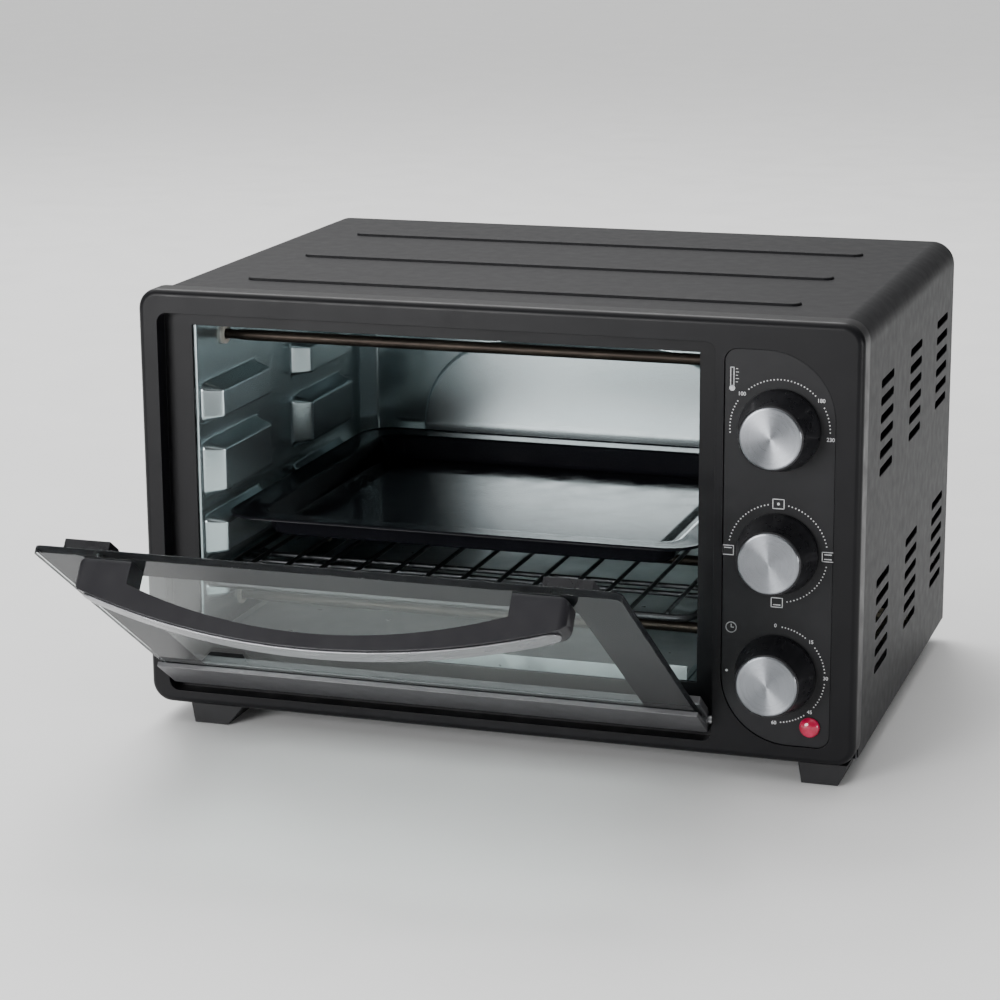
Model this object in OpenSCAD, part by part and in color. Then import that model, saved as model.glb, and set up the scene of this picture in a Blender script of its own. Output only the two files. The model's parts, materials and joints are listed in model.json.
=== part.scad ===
/* [Body] */
// Width across the front frame
body_w = 420; // [350:1:510]
// Height of the front frame, without the feet
body_h = 246.5; // [240:0.5:300]
// Depth from the front frame to the back panel
body_d = 303; // [280:1:370]
// Thickness of the cavity, base and back sheets
sheet_t = 0.6; // [0.5:0.1:1]
// Thickness of the outer cover's sheet
cover_t = 0.7; // [0.6:0.1:1.2]
// How far the cover lies inside the edge of the front frame
cover_inset = 1.2; // [0.6:0.1:3]
// Radius of the cover's top corners
cover_r = 14; // [8:1:20]
// Gap between fixed pieces that only meet
fit_gap = 0.2; // [0.1:0.05:0.4]

/* [Front frame] */
// Wall thickness of the front frame
frame_t = 3; // [2:0.5:4]
// Depth of the front frame
frame_d = 16; // [15:1:24]
// Outer corner radius of the front frame
frame_r = 12; // [8:1:18]
// Width of the flat band left of the door
side_band = 12; // [9:1:20]
// Height of the band above the door
top_band = 13.5; // [9:0.5:20]
// Height of the band below the door
bottom_band = 8; // [6:0.5:14]
// Width of the control column right of the door
control_band = 80.5; // [78:0.5:100]
// Corner radius of the door recess
recess_r = 6; // [3:1:8]
// Width of the ledge left of the mouth
ledge_left = 17; // [12:1:24]
// Width of the ledge right of the mouth
ledge_right = 11.3; // [6:0.1:14]
// Height of the ledge above the mouth
ledge_top = 8; // [6:0.5:14]
// Height of the ledge below the mouth
ledge_bottom = 30; // [26:1:36]

/* [Cover details] */
// Number of raised ribs pressed into the top
rib_count = 3; // [1:1:3]
// Distance from the ends of the ribs to the cover's sides
rib_in = 44.8; // [30:0.1:90]
// Width of each rib
rib_w = 11; // [6:1:16]
// Height of each rib
rib_h = 1.5; // [0.8:0.1:2.5]
// Distance from the frame to the first rib's middle
rib_first = 56; // [40:1:70]
// Distance from one rib to the next
rib_pitch = 89; // [60:1:95]
// Length of a side vent slot
vent_len = 39; // [20:1:44]
// Height of a side vent slot
vent_h = 5; // [3:0.5:6]
// Distance from one vent slot to the next above it
vent_pitch = 10; // [8:0.5:12]
// Slots in one column of a vent block
vent_rows = 6; // [3:1:6]
// Distance from the frame front to the first vent column's middle
vent_first = 78.5; // [60:0.5:90]
// Distance from the last vent column's middle to the back
vent_last = 39.5; // [30:0.5:60]
// Height of the lower vent block above the base
vent_low = 36; // [25:1:40]
// Drop of the upper vent block below the top
vent_high = 41.5; // [30:0.5:44]

/* [Feet] */
// Height of the feet
foot_h = 12; // [8:0.5:18]
// Width of a foot where it stands
foot_w = 20.6; // [16:0.2:26]
// Length of a foot, front to back
foot_len = 37; // [28:1:44]
// How far the left feet spread to the right at their top
foot_flare_left = 10; // [4:0.5:14]
// How far the right feet spread to the right at their top
foot_flare_right = 5; // [2:0.5:6]
// Middle of the left feet from the body's left edge
foot_left = 36; // [26:1:60]
// Middle of the right feet from the body's right edge
foot_right = 20; // [18:1:40]
// Front of the front feet behind the frame front
foot_front = 4; // [2:1:12]
// Front of the rear feet ahead of the back
foot_rear = 92; // [60:1:110]
// Distance of a foot's screw behind the foot's middle
foot_screw_back = 8; // [6:0.5:11]
// Radius of a foot screw's shank
foot_screw_r = 1.9; // [1.5:0.1:2.2]

/* [Door] */
// Angle of the door from closed, as it stands
door_rest = 55.3; // [0:0.1:84]
// Angle of the door from closed, fully open
door_open = 84; // [70:1:84]
// Height of the hinge axis above the recess bottom
hinge_up = 11.5; // [9.5:0.5:14]
// Distance of the hinge axis behind the frame front
hinge_back = 4; // [3:0.1:6]
// Radius of the hinge pins
pin_r = 2.5; // [1.8:0.1:2.8]
// Running clearance round a turning pin or shaft
run_gap = 0.05; // [0.02:0.01:0.09]
// Gap between the door and the recess walls
door_gap = 2.5; // [1:0.1:4]
// Gap between the closed door and the recess top
door_top_gap = 1.5; // [1:0.1:4]
// Thickness of the glass
glass_t = 4; // [3:0.5:5]
// Corner radius of the glass
glass_r = 5; // [3:1:12]
// Height of the bottom rail above the hinge axis
rail_up = 27; // [20:1:32]
// Depth of the bottom rail below the hinge axis
rail_down = 5.5; // [4.5:0.5:7]
// Thickness of the rail in front of the glass
rail_front = 3; // [2:0.5:4]
// Thickness of the rail behind the glass
rail_back = 5; // [4:0.1:6]
// Radius of the rail's lower edges
rail_r = 4; // [3:0.5:4]
// Gap between the swinging rail and the floor of the door recess
rail_clear = 0.7; // [0.5:0.1:2]

/* [Handle] */
// Distance from the ends of the handle to the door's edges
handle_in = 27.75; // [20:0.25:50]
// Width of each handle foot
handle_foot = 30.5; // [20:0.5:40]
// Height of the handle bar along the door
handle_h = 17; // [12:1:22]
// Gap between the handle and the top edge of the glass
handle_drop = 3; // [2:1:10]
// Reach of the handle's middle from the glass
handle_reach = 37.7; // [28:0.1:38]
// Reach of the handle's ends from the glass
handle_end = 16; // [12:0.5:20]
// Thickness of the handle's bar at its middle
handle_bar = 7.7; // [5:0.1:10]
// Thickness of the bright trim strip
trim_t = 1.2; // [0.8:0.1:2]
// Height of the bright trim strip
trim_h = 13; // [8:1:15]
// Width of the blocks behind the glass
block_w = 26; // [18:1:28]
// How far each block reaches beyond the handle's end
block_over = 10; // [6:0.5:12]
// Height of the blocks
block_h = 12; // [10:1:14]
// Thickness of the blocks
block_t = 6; // [4:0.2:6]
// Distance of each handle screw from the handle's end
handle_screw_in = 9.5; // [8:0.5:12]
// Radius of the handle screws
handle_screw_r = 2; // [1.5:0.1:2.5]

/* [Controls] */
// Distance of the panel's left edge from the recess
panel_left = 5; // [4:0.5:10]
// Distance of the panel's right edge from the frame's edge
panel_right = 14.7; // [12:0.1:20]
// Height of the panel's bottom edge above the base
panel_low = 9.9; // [8:0.1:14]
// Drop of the panel's top edge below the top
panel_high = 16.5; // [12:0.5:22]
// Radius of the panel's two tight corners
panel_r = 7; // [4:0.5:10]
// Radius of the panel's two sweeping corners
panel_sweep = 38; // [20:1:40]
// Thickness of the panel
panel_t = 1.5; // [1:0.1:1.8]
// How far the panel is sunk in the frame
panel_sink = 1; // [0.5:0.1:1.2]
// Distance from one knob to the next
knob_pitch = 68.5; // [60:0.5:72]
// Drop of the middle knob below the panel's middle
knob_drop = 1.5; // [0:0.5:4]
// Radius of the knob's skirt
knob_r = 22.4; // [18:0.2:24]
// Radius of the knob's front
knob_front_r = 18; // [15:0.2:19]
// Height of the knob above the panel
knob_h = 23; // [18:1:28]
// Gap under the knob's skirt
knob_lift = 1.2; // [0.8:0.1:3]
// Width of the black edge round the bright cap
knob_cap_edge = 1.2; // [1:0.1:4]
// Thickness of the bright cap
knob_cap_t = 1.4; // [1:0.1:2]
// Radius of the control shafts
shaft_r = 3; // [2.5:0.1:3.5]
// Radius of the threaded bush round each shaft
bush_r = 4.8; // [4.4:0.1:5.5]
// Radius of the signal lamp lens
lamp_r = 5.75; // [4:0.05:7]
// Height of the lens dome
lamp_h = 3.8; // [2.5:0.1:5]
// Distance of the lamp from the panel's right edge
lamp_in = 10.8; // [9:0.1:14]
// Height of the lamp above the panel's bottom edge
lamp_up = 11.5; // [9:0.5:16]

/* [Cavity] */
// Gap between the cavity and the back panel
cavity_back_gap = 13; // [8:1:24]
// How far the cavity walls lie outside the mouth
cavity_out = 2; // [1:0.5:3]
// Height of the cavity top above the mouth
cavity_up = 7; // [4:0.5:9]
// How far the rack guides stand out from the side walls
guide_d = 12; // [8:0.5:14]
// Height of a groove between two rack guides
groove_h = 12; // [9:0.5:12]
// Height of the rack's groove above the cavity floor
rack_groove = 33.5; // [28:0.5:40]
// Height of the tray's groove above the cavity floor
tray_groove = 70.5; // [60:0.5:80]
// Height of the spare groove above the cavity floor
spare_groove = 114.5; // [98:0.5:125]
// Height of the lowest guide's underside above the cavity floor
guide_floor = 21.5; // [20:0.5:24]
// Drop of the highest guide's top below the cavity top
guide_top = 45; // [30:0.5:50]
// Front of the first guide column behind the frame front
guide_front = 17; // [16:1:24]
// Length of a guide
guide_len = 92; // [70:1:94]
// How much further back the right wall's front guides start
guide_late = 36; // [0:1:45]
// Distance from the second guide column to the cavity back
guide_rear = 44; // [30:1:60]
// Width of the raised field in the back wall
field_w = 217; // [160:1:230]
// Height of the raised field in the back wall
field_h = 130; // [118:1:150]
// Corner radius of the raised field
field_r = 57; // [30:1:58]
// Height of the raised field's press
field_t = 4; // [2:0.5:6]

/* [Heating elements] */
// Radius of a heating element
heater_r = 3.25; // [2.5:0.05:4]
// Height of the lower elements above the cavity floor
heater_low = 12.5; // [11:0.5:14]
// Drop of the upper elements below the cavity top
heater_high = 21; // [14:0.5:22]
// Distance of the upper front element behind the frame front
heater_upper_front = 60; // [40:1:80]
// Distance of the lower front element behind the frame front
heater_lower_front = 75; // [60:1:90]
// Distance of the rear elements ahead of the cavity back
heater_rear = 72; // [50:1:90]
// Radius of the ceramic bushes at their ends
insulator_r = 6; // [5:0.5:7]
// Length of a heating element beyond each cavity wall
heater_out = 10; // [8:1:12]

/* [Rack and trays] */
// Gap between the rack and the cavity's side walls
rack_side_gap = 3.5; // [3.5:0.5:7]
// Front of the rack behind the frame front
rack_front = 12.5; // [12.5:0.5:20]
// Radius of the rack's outer wire
rack_wire_r = 2; // [1.5:0.1:2.4]
// Radius of the rack's long wires
rack_rod_r = 1.3; // [1:0.1:1.5]
// Distance of the outermost long wires from the rack's sides
rack_rod_in = 16.6; // [10:0.1:24]
// Number of long wires
rack_rods = 13; // [9:1:13]
// Gap between the tray's rim and the cavity's left wall
tray_left_gap = 9; // [8:0.5:10]
// Gap between the tray's rim and the cavity's right wall
tray_right_gap = 5.5; // [4:0.5:10]
// Front of the tray behind the frame front
tray_front = 24; // [18:1:40]
// Depth of the baking tray
tray_depth = 15; // [8:1:16]
// Width of the tray's rim
tray_rim = 16; // [6:0.5:18]
// Corner radius of the baking tray
tray_r = 16; // [10:1:20]
// Thickness of the baking tray's sheet
tray_t = 0.8; // [0.6:0.1:1.2]
// Front of the crumb tray behind the frame front
crumb_front = 12.5; // [12.5:0.5:16]
// Height of the crumb tray's front lip
crumb_lip = 8; // [4:0.5:8]
// Height of the crumb tray's other edges
crumb_edge = 4; // [2:0.5:5]
// Gap that a sliding piece keeps from what it slides on
slide_gap = 0.3; // [0.2:0.05:0.5]

/* [Cord entry and fasteners] */
// Radius of the hole for the cord in the gland
cord_r = 3.6; // [2.5:0.1:4.5]
// Radius of the gland's body
gland_r = 7; // [6:0.5:8]
// Length of the gland
gland_len = 16; // [12:0.5:20]
// Thickness of the gland's flange outside the back
gland_flange_t = 2; // [1.5:0.1:3]
// Distance of the gland from the body's right edge
gland_in = 45; // [35:1:60]
// Height of the gland above the base
gland_up = 32; // [24:1:50]
// Radius of the back panel's screws
screw_r = 1.5; // [1.2:0.1:2]
// Radius of the screws' heads
screw_head_r = 3.2; // [2.6:0.1:4]
// Height of the screws' heads
screw_head_h = 1.8; // [1.2:0.1:2.5]

/* [Hidden] */
$fn = 64;
eps = 1;

left_x = -body_w / 2;
right_x = body_w / 2;
base_z = foot_h;
top_z = base_z + body_h;
mid_z = base_z + body_h / 2;

// The origin lies under the middle of the whole object, with the door as it stands,
// so the body's front lies behind it by half of what the open door adds.
handle_top_s = body_h - top_band - bottom_band - hinge_up - door_top_gap - handle_drop;
door_reach = handle_top_s * sin(door_rest) + (glass_t + handle_reach) * cos(door_rest) - hinge_back;
front_y = (door_reach - body_d - gland_flange_t) / 2;
back_y = front_y + body_d;

rec_x0 = left_x + side_band;
rec_x1 = right_x - control_band;
rec_z0 = base_z + bottom_band;
rec_z1 = top_z - top_band;
rail_swing = rail_r + norm([rail_back - rail_r, rail_down - rail_r]);
recess_d = hinge_back + rail_swing + rail_clear;
rec_y = front_y + recess_d;
mouth_x0 = rec_x0 + ledge_left;
mouth_x1 = rec_x1 - ledge_right;
mouth_z0 = rec_z0 + ledge_bottom;
mouth_z1 = rec_z1 - ledge_top;
mouth_mid = (mouth_x0 + mouth_x1) / 2;

hinge_y = front_y + hinge_back;
hinge_z = rec_z0 + hinge_up;
door_x0 = rec_x0 + door_gap;
door_x1 = rec_x1 - door_gap;
door_mid = (door_x0 + door_x1) / 2;
door_len = rec_z1 - door_top_gap - hinge_z;
glass_inset = 2;
glass_slot = pin_r + 2;
pin_in_rail = 14;
handle_w = door_x1 - door_x0 - 2 * handle_in;
handle_screw_out = handle_w / 2 - handle_screw_in;
handle_gap_half = handle_w / 2 - handle_foot;
finger_depth = handle_reach - handle_bar;
handle_out_r = (pow(handle_w / 2, 2) + pow(handle_reach - handle_end, 2)) / (2 * (handle_reach - handle_end));
finger_end = handle_end - 3.7;
finger_r = (pow(handle_gap_half, 2) + pow(finger_depth - finger_end, 2)) / (2 * (finger_depth - finger_end));
handle_s0 = handle_top_s - handle_h;
handle_mid_s = handle_top_s - handle_h / 2;

panel_x0 = rec_x1 + panel_left;
panel_x1 = right_x - panel_right;
panel_w = panel_x1 - panel_x0;
panel_z0 = base_z + panel_low;
panel_z1 = top_z - panel_high;
panel_h = panel_z1 - panel_z0;
panel_y = front_y + panel_sink;
knob_x = (panel_x0 + panel_x1) / 2;
knob_mid_z = (panel_z0 + panel_z1) / 2 - knob_drop;
knob_z = [knob_mid_z + knob_pitch, knob_mid_z, knob_mid_z - knob_pitch];
lamp_x = panel_x1 - lamp_in;
lamp_z = panel_z0 + lamp_up;
lamp_hole_r = lamp_r - 1.5;
nut_h = 2.5;
nut_r = bush_r + 3;
panel_ledge = 3;
knob_cap_r = knob_front_r - knob_cap_edge;
control_y = panel_t + 2.8;
shaft_flat = shaft_r * 0.75;
knob_wall = 2;

cav_x0 = mouth_x0 - cavity_out;
cav_x1 = mouth_x1 + cavity_out;
cav_y0 = rec_y + frame_t;
cav_y1 = back_y - cavity_back_gap;
cav_z0 = mouth_z0 - 0.5;
cav_z1 = mouth_z1 + cavity_up;
guide_starts = [front_y + guide_front, cav_y1 - guide_rear - guide_len];
flange = 8;
shield_x = cav_x1 + heater_out + 5;

cover_x = body_w / 2 - cover_inset;
cover_z1 = top_z - cover_inset;
cover_z0 = base_z + 1.2;
cover_y0 = front_y + frame_d;
cover_y1 = back_y - sheet_t;
cover_flange = 12;
base_x = cover_x - cover_t - fit_gap;
base_rim = 12;

rack_z = cav_z0 + rack_groove + slide_gap + rack_wire_r;
rack_x0 = cav_x0 + rack_side_gap;
rack_x1 = cav_x1 - rack_side_gap;
rack_y0 = front_y + rack_front;
rack_y1 = cav_y1 - field_t - 4;
tray_z = cav_z0 + tray_groove + slide_gap;
tray_x0 = cav_x0 + tray_left_gap;
tray_x1 = cav_x1 - tray_right_gap;
tray_y0 = front_y + tray_front;
tray_y1 = cav_y1 - field_t - 8;
tray_bead = 1.3;
crumb_z = mouth_z0 + slide_gap;
crumb_side = 6;
gland_x = right_x - gland_in;
gland_z = base_z + gland_up;
gland_flange_r = gland_r + 3;
heater_z_low = cav_z0 + heater_low;
heater_z_high = cav_z1 - heater_high;

// ---- Shared shapes ----

// A box from one corner to the other
module span_box(x0, x1, y0, y1, z0, z1) {
    translate([x0, y0, z0]) cube([x1 - x0, y1 - y0, z1 - z0]);
}

// A flat rectangle with round corners, centred
module rounded_rect(w, h, r) {
    square([w - 2 * r, h], center = true);
    square([w, h - 2 * r], center = true);
    for (sx = [-1, 1], sz = [-1, 1]) {
        translate([sx * (w / 2 - r), sz * (h / 2 - r)]) circle(r);
    }
}

// A rectangle with two tight and two sweeping corners, from its lower left corner
module leaf(w, h, tight, sweep) {
    difference() {
        square([w, h]);
        translate([0, h]) mirror([0, 1]) corner_waste(tight);
        translate([w, 0]) mirror([1, 0]) corner_waste(tight);
        corner_waste(sweep);
        translate([w, h]) mirror([1, 0]) mirror([0, 1]) corner_waste(sweep);
    }
}

// What rounding cuts off a lower left corner
module corner_waste(r) {
    difference() {
        translate([-eps, -eps]) square(r + eps);
        translate([r, r]) circle(r);
    }
}

// Extrudes an outline drawn in X and Z backwards from the given Y
module extrude_back(y, depth) {
    translate([0, y + depth, 0]) rotate([90, 0, 0]) linear_extrude(depth) children();
}

// Extrudes an outline drawn in Y and Z to the right from the given X
module extrude_right(x, width) {
    translate([x, 0, 0]) rotate([90, 0, 90]) linear_extrude(width) children();
}

// A slot with round ends, long along the first axis
module stadium(len, wide) {
    square([len - wide, wide], center = true);
    for (side = [-1, 1]) translate([side * (len - wide) / 2, 0]) circle(wide / 2);
}

// A round rod along X
module rod_x(x0, x1, y, z, r) {
    translate([x0, y, z]) rotate([0, 90, 0]) cylinder(h = x1 - x0, r = r);
}

// A round rod along Y
module rod_y(y0, y1, x, z, r) {
    translate([x, y0, z]) rotate([-90, 0, 0]) cylinder(h = y1 - y0, r = r);
}

// ---- Body ----

// The moulded front frame with the door recess, the mouth and the panel's seat
module front_frame() color("#29292b") {
    difference() {
        union() {
            difference() {
                extrude_back(front_y, frame_d)
                    translate([0, mid_z]) rounded_rect(body_w, body_h, frame_r);
                extrude_back(front_y + frame_t, frame_d)
                    translate([0, mid_z])
                        rounded_rect(body_w - 2 * frame_t, body_h - 2 * frame_t, frame_r - frame_t);
            }
            span_box(rec_x0 - frame_t, rec_x1 + frame_t, front_y + frame_t / 2, rec_y + frame_t,
                rec_z0 - frame_t, rec_z1 + frame_t);
            extrude_back(front_y + frame_t / 2, panel_sink + panel_t + 2 - frame_t / 2)
                translate([panel_x0 - panel_ledge, panel_z0 - panel_ledge])
                    leaf(panel_w + 2 * panel_ledge, panel_h + 2 * panel_ledge, panel_r + panel_ledge,
                        panel_sweep + panel_ledge);
        }
        extrude_back(front_y - eps, recess_d + eps)
            translate([(rec_x0 + rec_x1) / 2, (rec_z0 + rec_z1) / 2])
                rounded_rect(rec_x1 - rec_x0, rec_z1 - rec_z0, recess_r);
        span_box(mouth_x0, mouth_x1, front_y, cav_y0 + eps, mouth_z0, mouth_z1);
        extrude_back(front_y - eps, eps + panel_sink + panel_t)
            translate([panel_x0 - fit_gap, panel_z0 - fit_gap])
                leaf(panel_w + 2 * fit_gap, panel_h + 2 * fit_gap, panel_r + fit_gap, panel_sweep + fit_gap);
        extrude_back(front_y - eps, frame_d)
            translate([panel_x0 + panel_ledge, panel_z0 + panel_ledge])
                leaf(panel_w - 2 * panel_ledge, panel_h - 2 * panel_ledge, panel_r - panel_ledge,
                    panel_sweep - panel_ledge);
        rod_x(rec_x0 - frame_t - eps, rec_x0 + eps, hinge_y, hinge_z, pin_r + run_gap);
        rod_x(rec_x1 - eps, rec_x1 + frame_t + eps, hinge_y, hinge_z, pin_r + run_gap);
    }
}

// The sunk control panel with a hole for each control and for the lamp
module control_panel() color("#3a3a3d") {
    difference() {
        extrude_back(panel_y, panel_t)
            translate([panel_x0, panel_z0]) leaf(panel_w, panel_h, panel_r, panel_sweep);
        for (z = knob_z) rod_y(panel_y - eps, panel_y + panel_t + eps, knob_x, z, bush_r + fit_gap);
        rod_y(panel_y - eps, panel_y + panel_t + eps, lamp_x, lamp_z, lamp_hole_r + fit_gap);
    }
}

// The cover's section: square at the bottom, round at the top
module cover_section(inset, low) {
    wide = 2 * (cover_x - inset);
    high = cover_z1 - inset;
    translate([0, (high + low) / 2]) {
        difference() {
            square([wide, high - low], center = true);
            for (side = [0, 1]) mirror([side, 0])
                translate([-wide / 2, (high - low) / 2]) mirror([0, 1]) corner_waste(max(cover_r - inset, 2));
        }
    }
}

// The steel cover over the top and both sides, with pressed ribs and vent slots
module outer_cover() color("#2e2e30") {
    difference() {
        union() {
            extrude_back(cover_y0, cover_y1 - cover_y0) cover_section(0, cover_z0);
            for (i = [0 : rib_count - 1])
                translate([0, front_y + rib_first + i * rib_pitch, cover_z1 - cover_t / 2])
                    linear_extrude(rib_h + cover_t / 2) stadium(2 * (cover_x - rib_in), rib_w);
        }
        extrude_back(cover_y0 - eps, cover_y1 - cover_y0 + eps - cover_t) cover_section(cover_t, cover_z0 - eps);
        extrude_back(cover_y0, body_d) cover_section(cover_flange, cover_z0 - eps);
        extrude_right(cover_x - cover_t - eps, cover_t + 2 * eps) side_vents();
        for (p = back_screw_spots()) rod_y(cover_y1 - 2 * cover_t, cover_y1 + eps, p[0], p[1], screw_r + 0.1);
    }
}

// The two blocks of vent slots, drawn in Y and Z
module side_vents() {
    block_h = (vent_rows - 1) * vent_pitch + vent_h;
    starts = [base_z + vent_low, top_z - vent_high - block_h];
    vent_step = (body_d - vent_first - vent_last) / 2;
    for (start = starts, row = [0 : vent_rows - 1], col = [0 : 2])
        translate([front_y + vent_first + col * vent_step, start + vent_h / 2 + row * vent_pitch])
            stadium(vent_len, vent_h);
}

// Where the back panel's screws stand: up both sides, then along the top, as [x, z]
function cover_screw_spots() = concat(
    [for (side = [-1, 1], z = [base_z + 40, mid_z, top_z - 40]) [side * (cover_x - 7), z]],
    [for (x = [-100, 100]) [x, cover_z1 - 7]]
);
function base_screw_spots() = [for (x = [-100, 100]) [x, base_z + 7]];
function back_screw_spots() = concat(cover_screw_spots(), base_screw_spots());

// The flat steel back with the cord's hole and the screw holes
module back_panel() color("#2a2a2c") {
    wide = body_w - 6;
    high = body_h - 6;
    difference() {
        extrude_back(cover_y1, sheet_t) translate([0, mid_z]) rounded_rect(wide, high, cover_r - 2);
        rod_y(cover_y1 - eps, back_y + eps, gland_x, gland_z, gland_r + fit_gap);
        for (p = back_screw_spots()) rod_y(cover_y1 - eps, back_y + eps, p[0], p[1], screw_r + 0.1);
        extrude_back(cover_y1 - eps, sheet_t + 2 * eps)
            for (row = [0 : 4]) translate([gland_x - 8, top_z - 60 - row * vent_pitch]) stadium(vent_len, vent_h);
    }
}

// The steel base with a rim turned up along both sides and the back
module bottom_plate() color("#4a4c4e") {
    y0 = cover_y0 + fit_gap;
    y1 = cover_y1;
    difference() {
        union() {
            span_box(-base_x, base_x, y0, y1, base_z, base_z + sheet_t);
            span_box(-base_x, -base_x + sheet_t, y0, y1, base_z, base_z + base_rim);
            span_box(base_x - sheet_t, base_x, y0, y1, base_z, base_z + base_rim);
            span_box(-base_x + cover_flange, base_x - cover_flange, y1 - sheet_t, y1, base_z, base_z + base_rim);
        }
        for (p = base_screw_spots()) rod_y(y1 - sheet_t - eps, y1 + eps, p[0], p[1], screw_r + 0.1);
        for (p = foot_screw_spots()) translate([p[0], p[1], base_z - eps]) cylinder(h = 3 * eps, r = foot_screw_r + 0.1);
    }
}

// ---- Feet ----

// Each foot's middle and front edge as [x, y]: front left, front right, rear left, rear right
function feet() = [
    for (y = [front_y + foot_front, back_y - foot_rear], x = [left_x + foot_left, right_x - foot_right]) [x, y]
];

// Where each foot's screw stands, as [x, y]
function foot_screw_spots() = [for (f = feet()) [f[0], f[1] + foot_len / 2 + foot_screw_back]];

// One moulded foot, wider where it meets the base, with a well for its screw
module foot(i, outward) color("#1d1d1f") {
    x = feet()[i][0];
    spot = foot_screw_spots()[i];
    half = foot_w / 2;
    inward = 2;
    difference() {
        extrude_back(feet()[i][1], foot_len)
            polygon([[x - half, 0], [x + half, 0], [x + half + outward, foot_h], [x - half - inward, foot_h]]);
        translate([spot[0], spot[1], -eps]) {
            cylinder(h = foot_h + 2 * eps, r = foot_screw_r + 0.1);
            cylinder(h = foot_h / 2 + eps, r = foot_screw_r + 3);
        }
    }
}
module foot_front_left() foot(0, foot_flare_left);
module foot_front_right() foot(1, foot_flare_right);
module foot_rear_left() foot(2, foot_flare_left);
module foot_rear_right() foot(3, foot_flare_right);

// The four screws that hold the feet to the base
module foot_screws() color("#9a9da0") {
    head_h = 2.5;
    for (p = foot_screw_spots()) translate([p[0], p[1], foot_h / 2]) {
        cylinder(h = foot_h / 2 + 2 * head_h, r = foot_screw_r);
        translate([0, 0, -head_h]) cylinder(h = head_h, r = foot_screw_r + 2);
    }
}

// The screws that hold the back panel to the cover and the base
module back_screws() color("#9a9da0") {
    for (p = back_screw_spots()) {
        rod_y(back_y - 6, back_y + screw_head_h / 2, p[0], p[1], screw_r);
        rod_y(back_y, back_y + screw_head_h, p[0], p[1], screw_head_r);
    }
}

// ---- Cavity ----

// The heights of the rack guides, each from bottom to top, above the cavity floor
function guide_spans() = [
    [guide_floor, rack_groove],
    [rack_groove + groove_h, tray_groove],
    [tray_groove + groove_h, spare_groove],
    [spare_groove + groove_h, cav_z1 - cav_z0 - guide_top]
];

// The heights of the elements and where they stand, as [y, z]
function heater_spots() = [
    [front_y + heater_upper_front, heater_z_high],
    [cav_y1 - heater_rear, heater_z_high],
    [front_y + heater_lower_front, heater_z_low],
    [cav_y1 - heater_rear, heater_z_low]
];

// A side wall standing at x = 0 with its guides pressed towards +X, the front ones starting late
module cavity_side(late) {
    columns = [[guide_starts[0] + late, guide_len - late], [guide_starts[1], guide_len]];
    difference() {
        union() {
            span_box(-sheet_t, 0, cav_y0, cav_y1, cav_z0, cav_z1);
            span_box(-sheet_t - flange, 0, cav_y0, cav_y0 + sheet_t, cav_z0, cav_z1);
            for (s = guide_spans(), c = columns)
                translate([0, c[0], cav_z0 + s[0]])
                    linear_extrude(s[1] - s[0]) guide_plan(c[1], 0);
        }
        for (s = guide_spans(), c = columns)
            translate([0, c[0], cav_z0 + s[0] + sheet_t])
                linear_extrude(s[1] - s[0] - 2 * sheet_t) guide_plan(c[1], sheet_t);
        for (p = heater_spots()) rod_x(-2 * sheet_t - eps, eps, p[0], p[1], insulator_r + fit_gap);
    }
}

// A guide seen from above: a low bulge with sloping ends
module guide_plan(len, inset) {
    slope = 9;
    depth = guide_d - inset;
    back = inset > 0 ? -sheet_t - eps : -sheet_t / 2;
    polygon([
        [back, inset], [0, inset], [depth, slope], [depth, len - slope], [0, len - inset],
        [back, len - inset]
    ]);
}

module cavity_left_wall() color("#8fa0a4") translate([cav_x0, 0, 0]) cavity_side(0);
module cavity_right_wall() color("#8fa0a4")
    translate([cav_x1, 0, 0]) mirror([1, 0, 0]) cavity_side(guide_late);

module cavity_top() color("#8fa0a4") {
    span_box(cav_x0 - sheet_t, cav_x1 + sheet_t, cav_y0, cav_y1, cav_z1, cav_z1 + sheet_t);
    span_box(cav_x0 - sheet_t, cav_x1 + sheet_t, cav_y0, cav_y0 + sheet_t, cav_z1, cav_z1 + flange);
}

module cavity_floor() color("#8fa0a4") {
    span_box(cav_x0 - sheet_t, cav_x1 + sheet_t, cav_y0, cav_y1, cav_z0 - sheet_t, cav_z0);
    span_box(cav_x0 - sheet_t, cav_x1 + sheet_t, cav_y0, cav_y0 + sheet_t, cav_z0 - flange, cav_z0);
}

// The back wall with a large round-cornered field pressed forwards
module cavity_back() color("#a9b4b8") {
    field_z = cav_z0 + field_h / 2 + 2;
    r = min(field_r, field_h / 2 - 1);
    difference() {
        union() {
            span_box(cav_x0 - sheet_t, cav_x1 + sheet_t, cav_y1, cav_y1 + sheet_t, cav_z0 - sheet_t,
                cav_z1 + sheet_t);
            extrude_back(cav_y1 - field_t, field_t + sheet_t / 2)
                translate([mouth_mid, field_z]) rounded_rect(field_w, field_h, r);
        }
        extrude_back(cav_y1 - field_t + sheet_t, field_t + sheet_t)
            translate([mouth_mid, field_z])
                rounded_rect(field_w - 2 * sheet_t, field_h - 2 * sheet_t, r - sheet_t);
    }
}

// The sheet that keeps the heat of the cavity off the controls
module heat_shield() color("#9aa4a7") {
    y0 = front_y + frame_d + 2;
    y1 = cav_y1;
    span_box(shield_x, shield_x + sheet_t, y0, y1, base_z + sheet_t, cav_z1);
    span_box(shield_x, shield_x + flange, y0, y1, base_z + sheet_t, base_z + 2 * sheet_t);
}

// ---- Heating elements ----

module heater(i) color("#8a6f5c") {
    p = heater_spots()[i];
    rod_x(cav_x0 - heater_out, cav_x1 + heater_out, p[0], p[1], heater_r);
}
module upper_front_heater() heater(0);
module upper_rear_heater() heater(1);
module lower_front_heater() heater(2);
module lower_rear_heater() heater(3);

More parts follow.
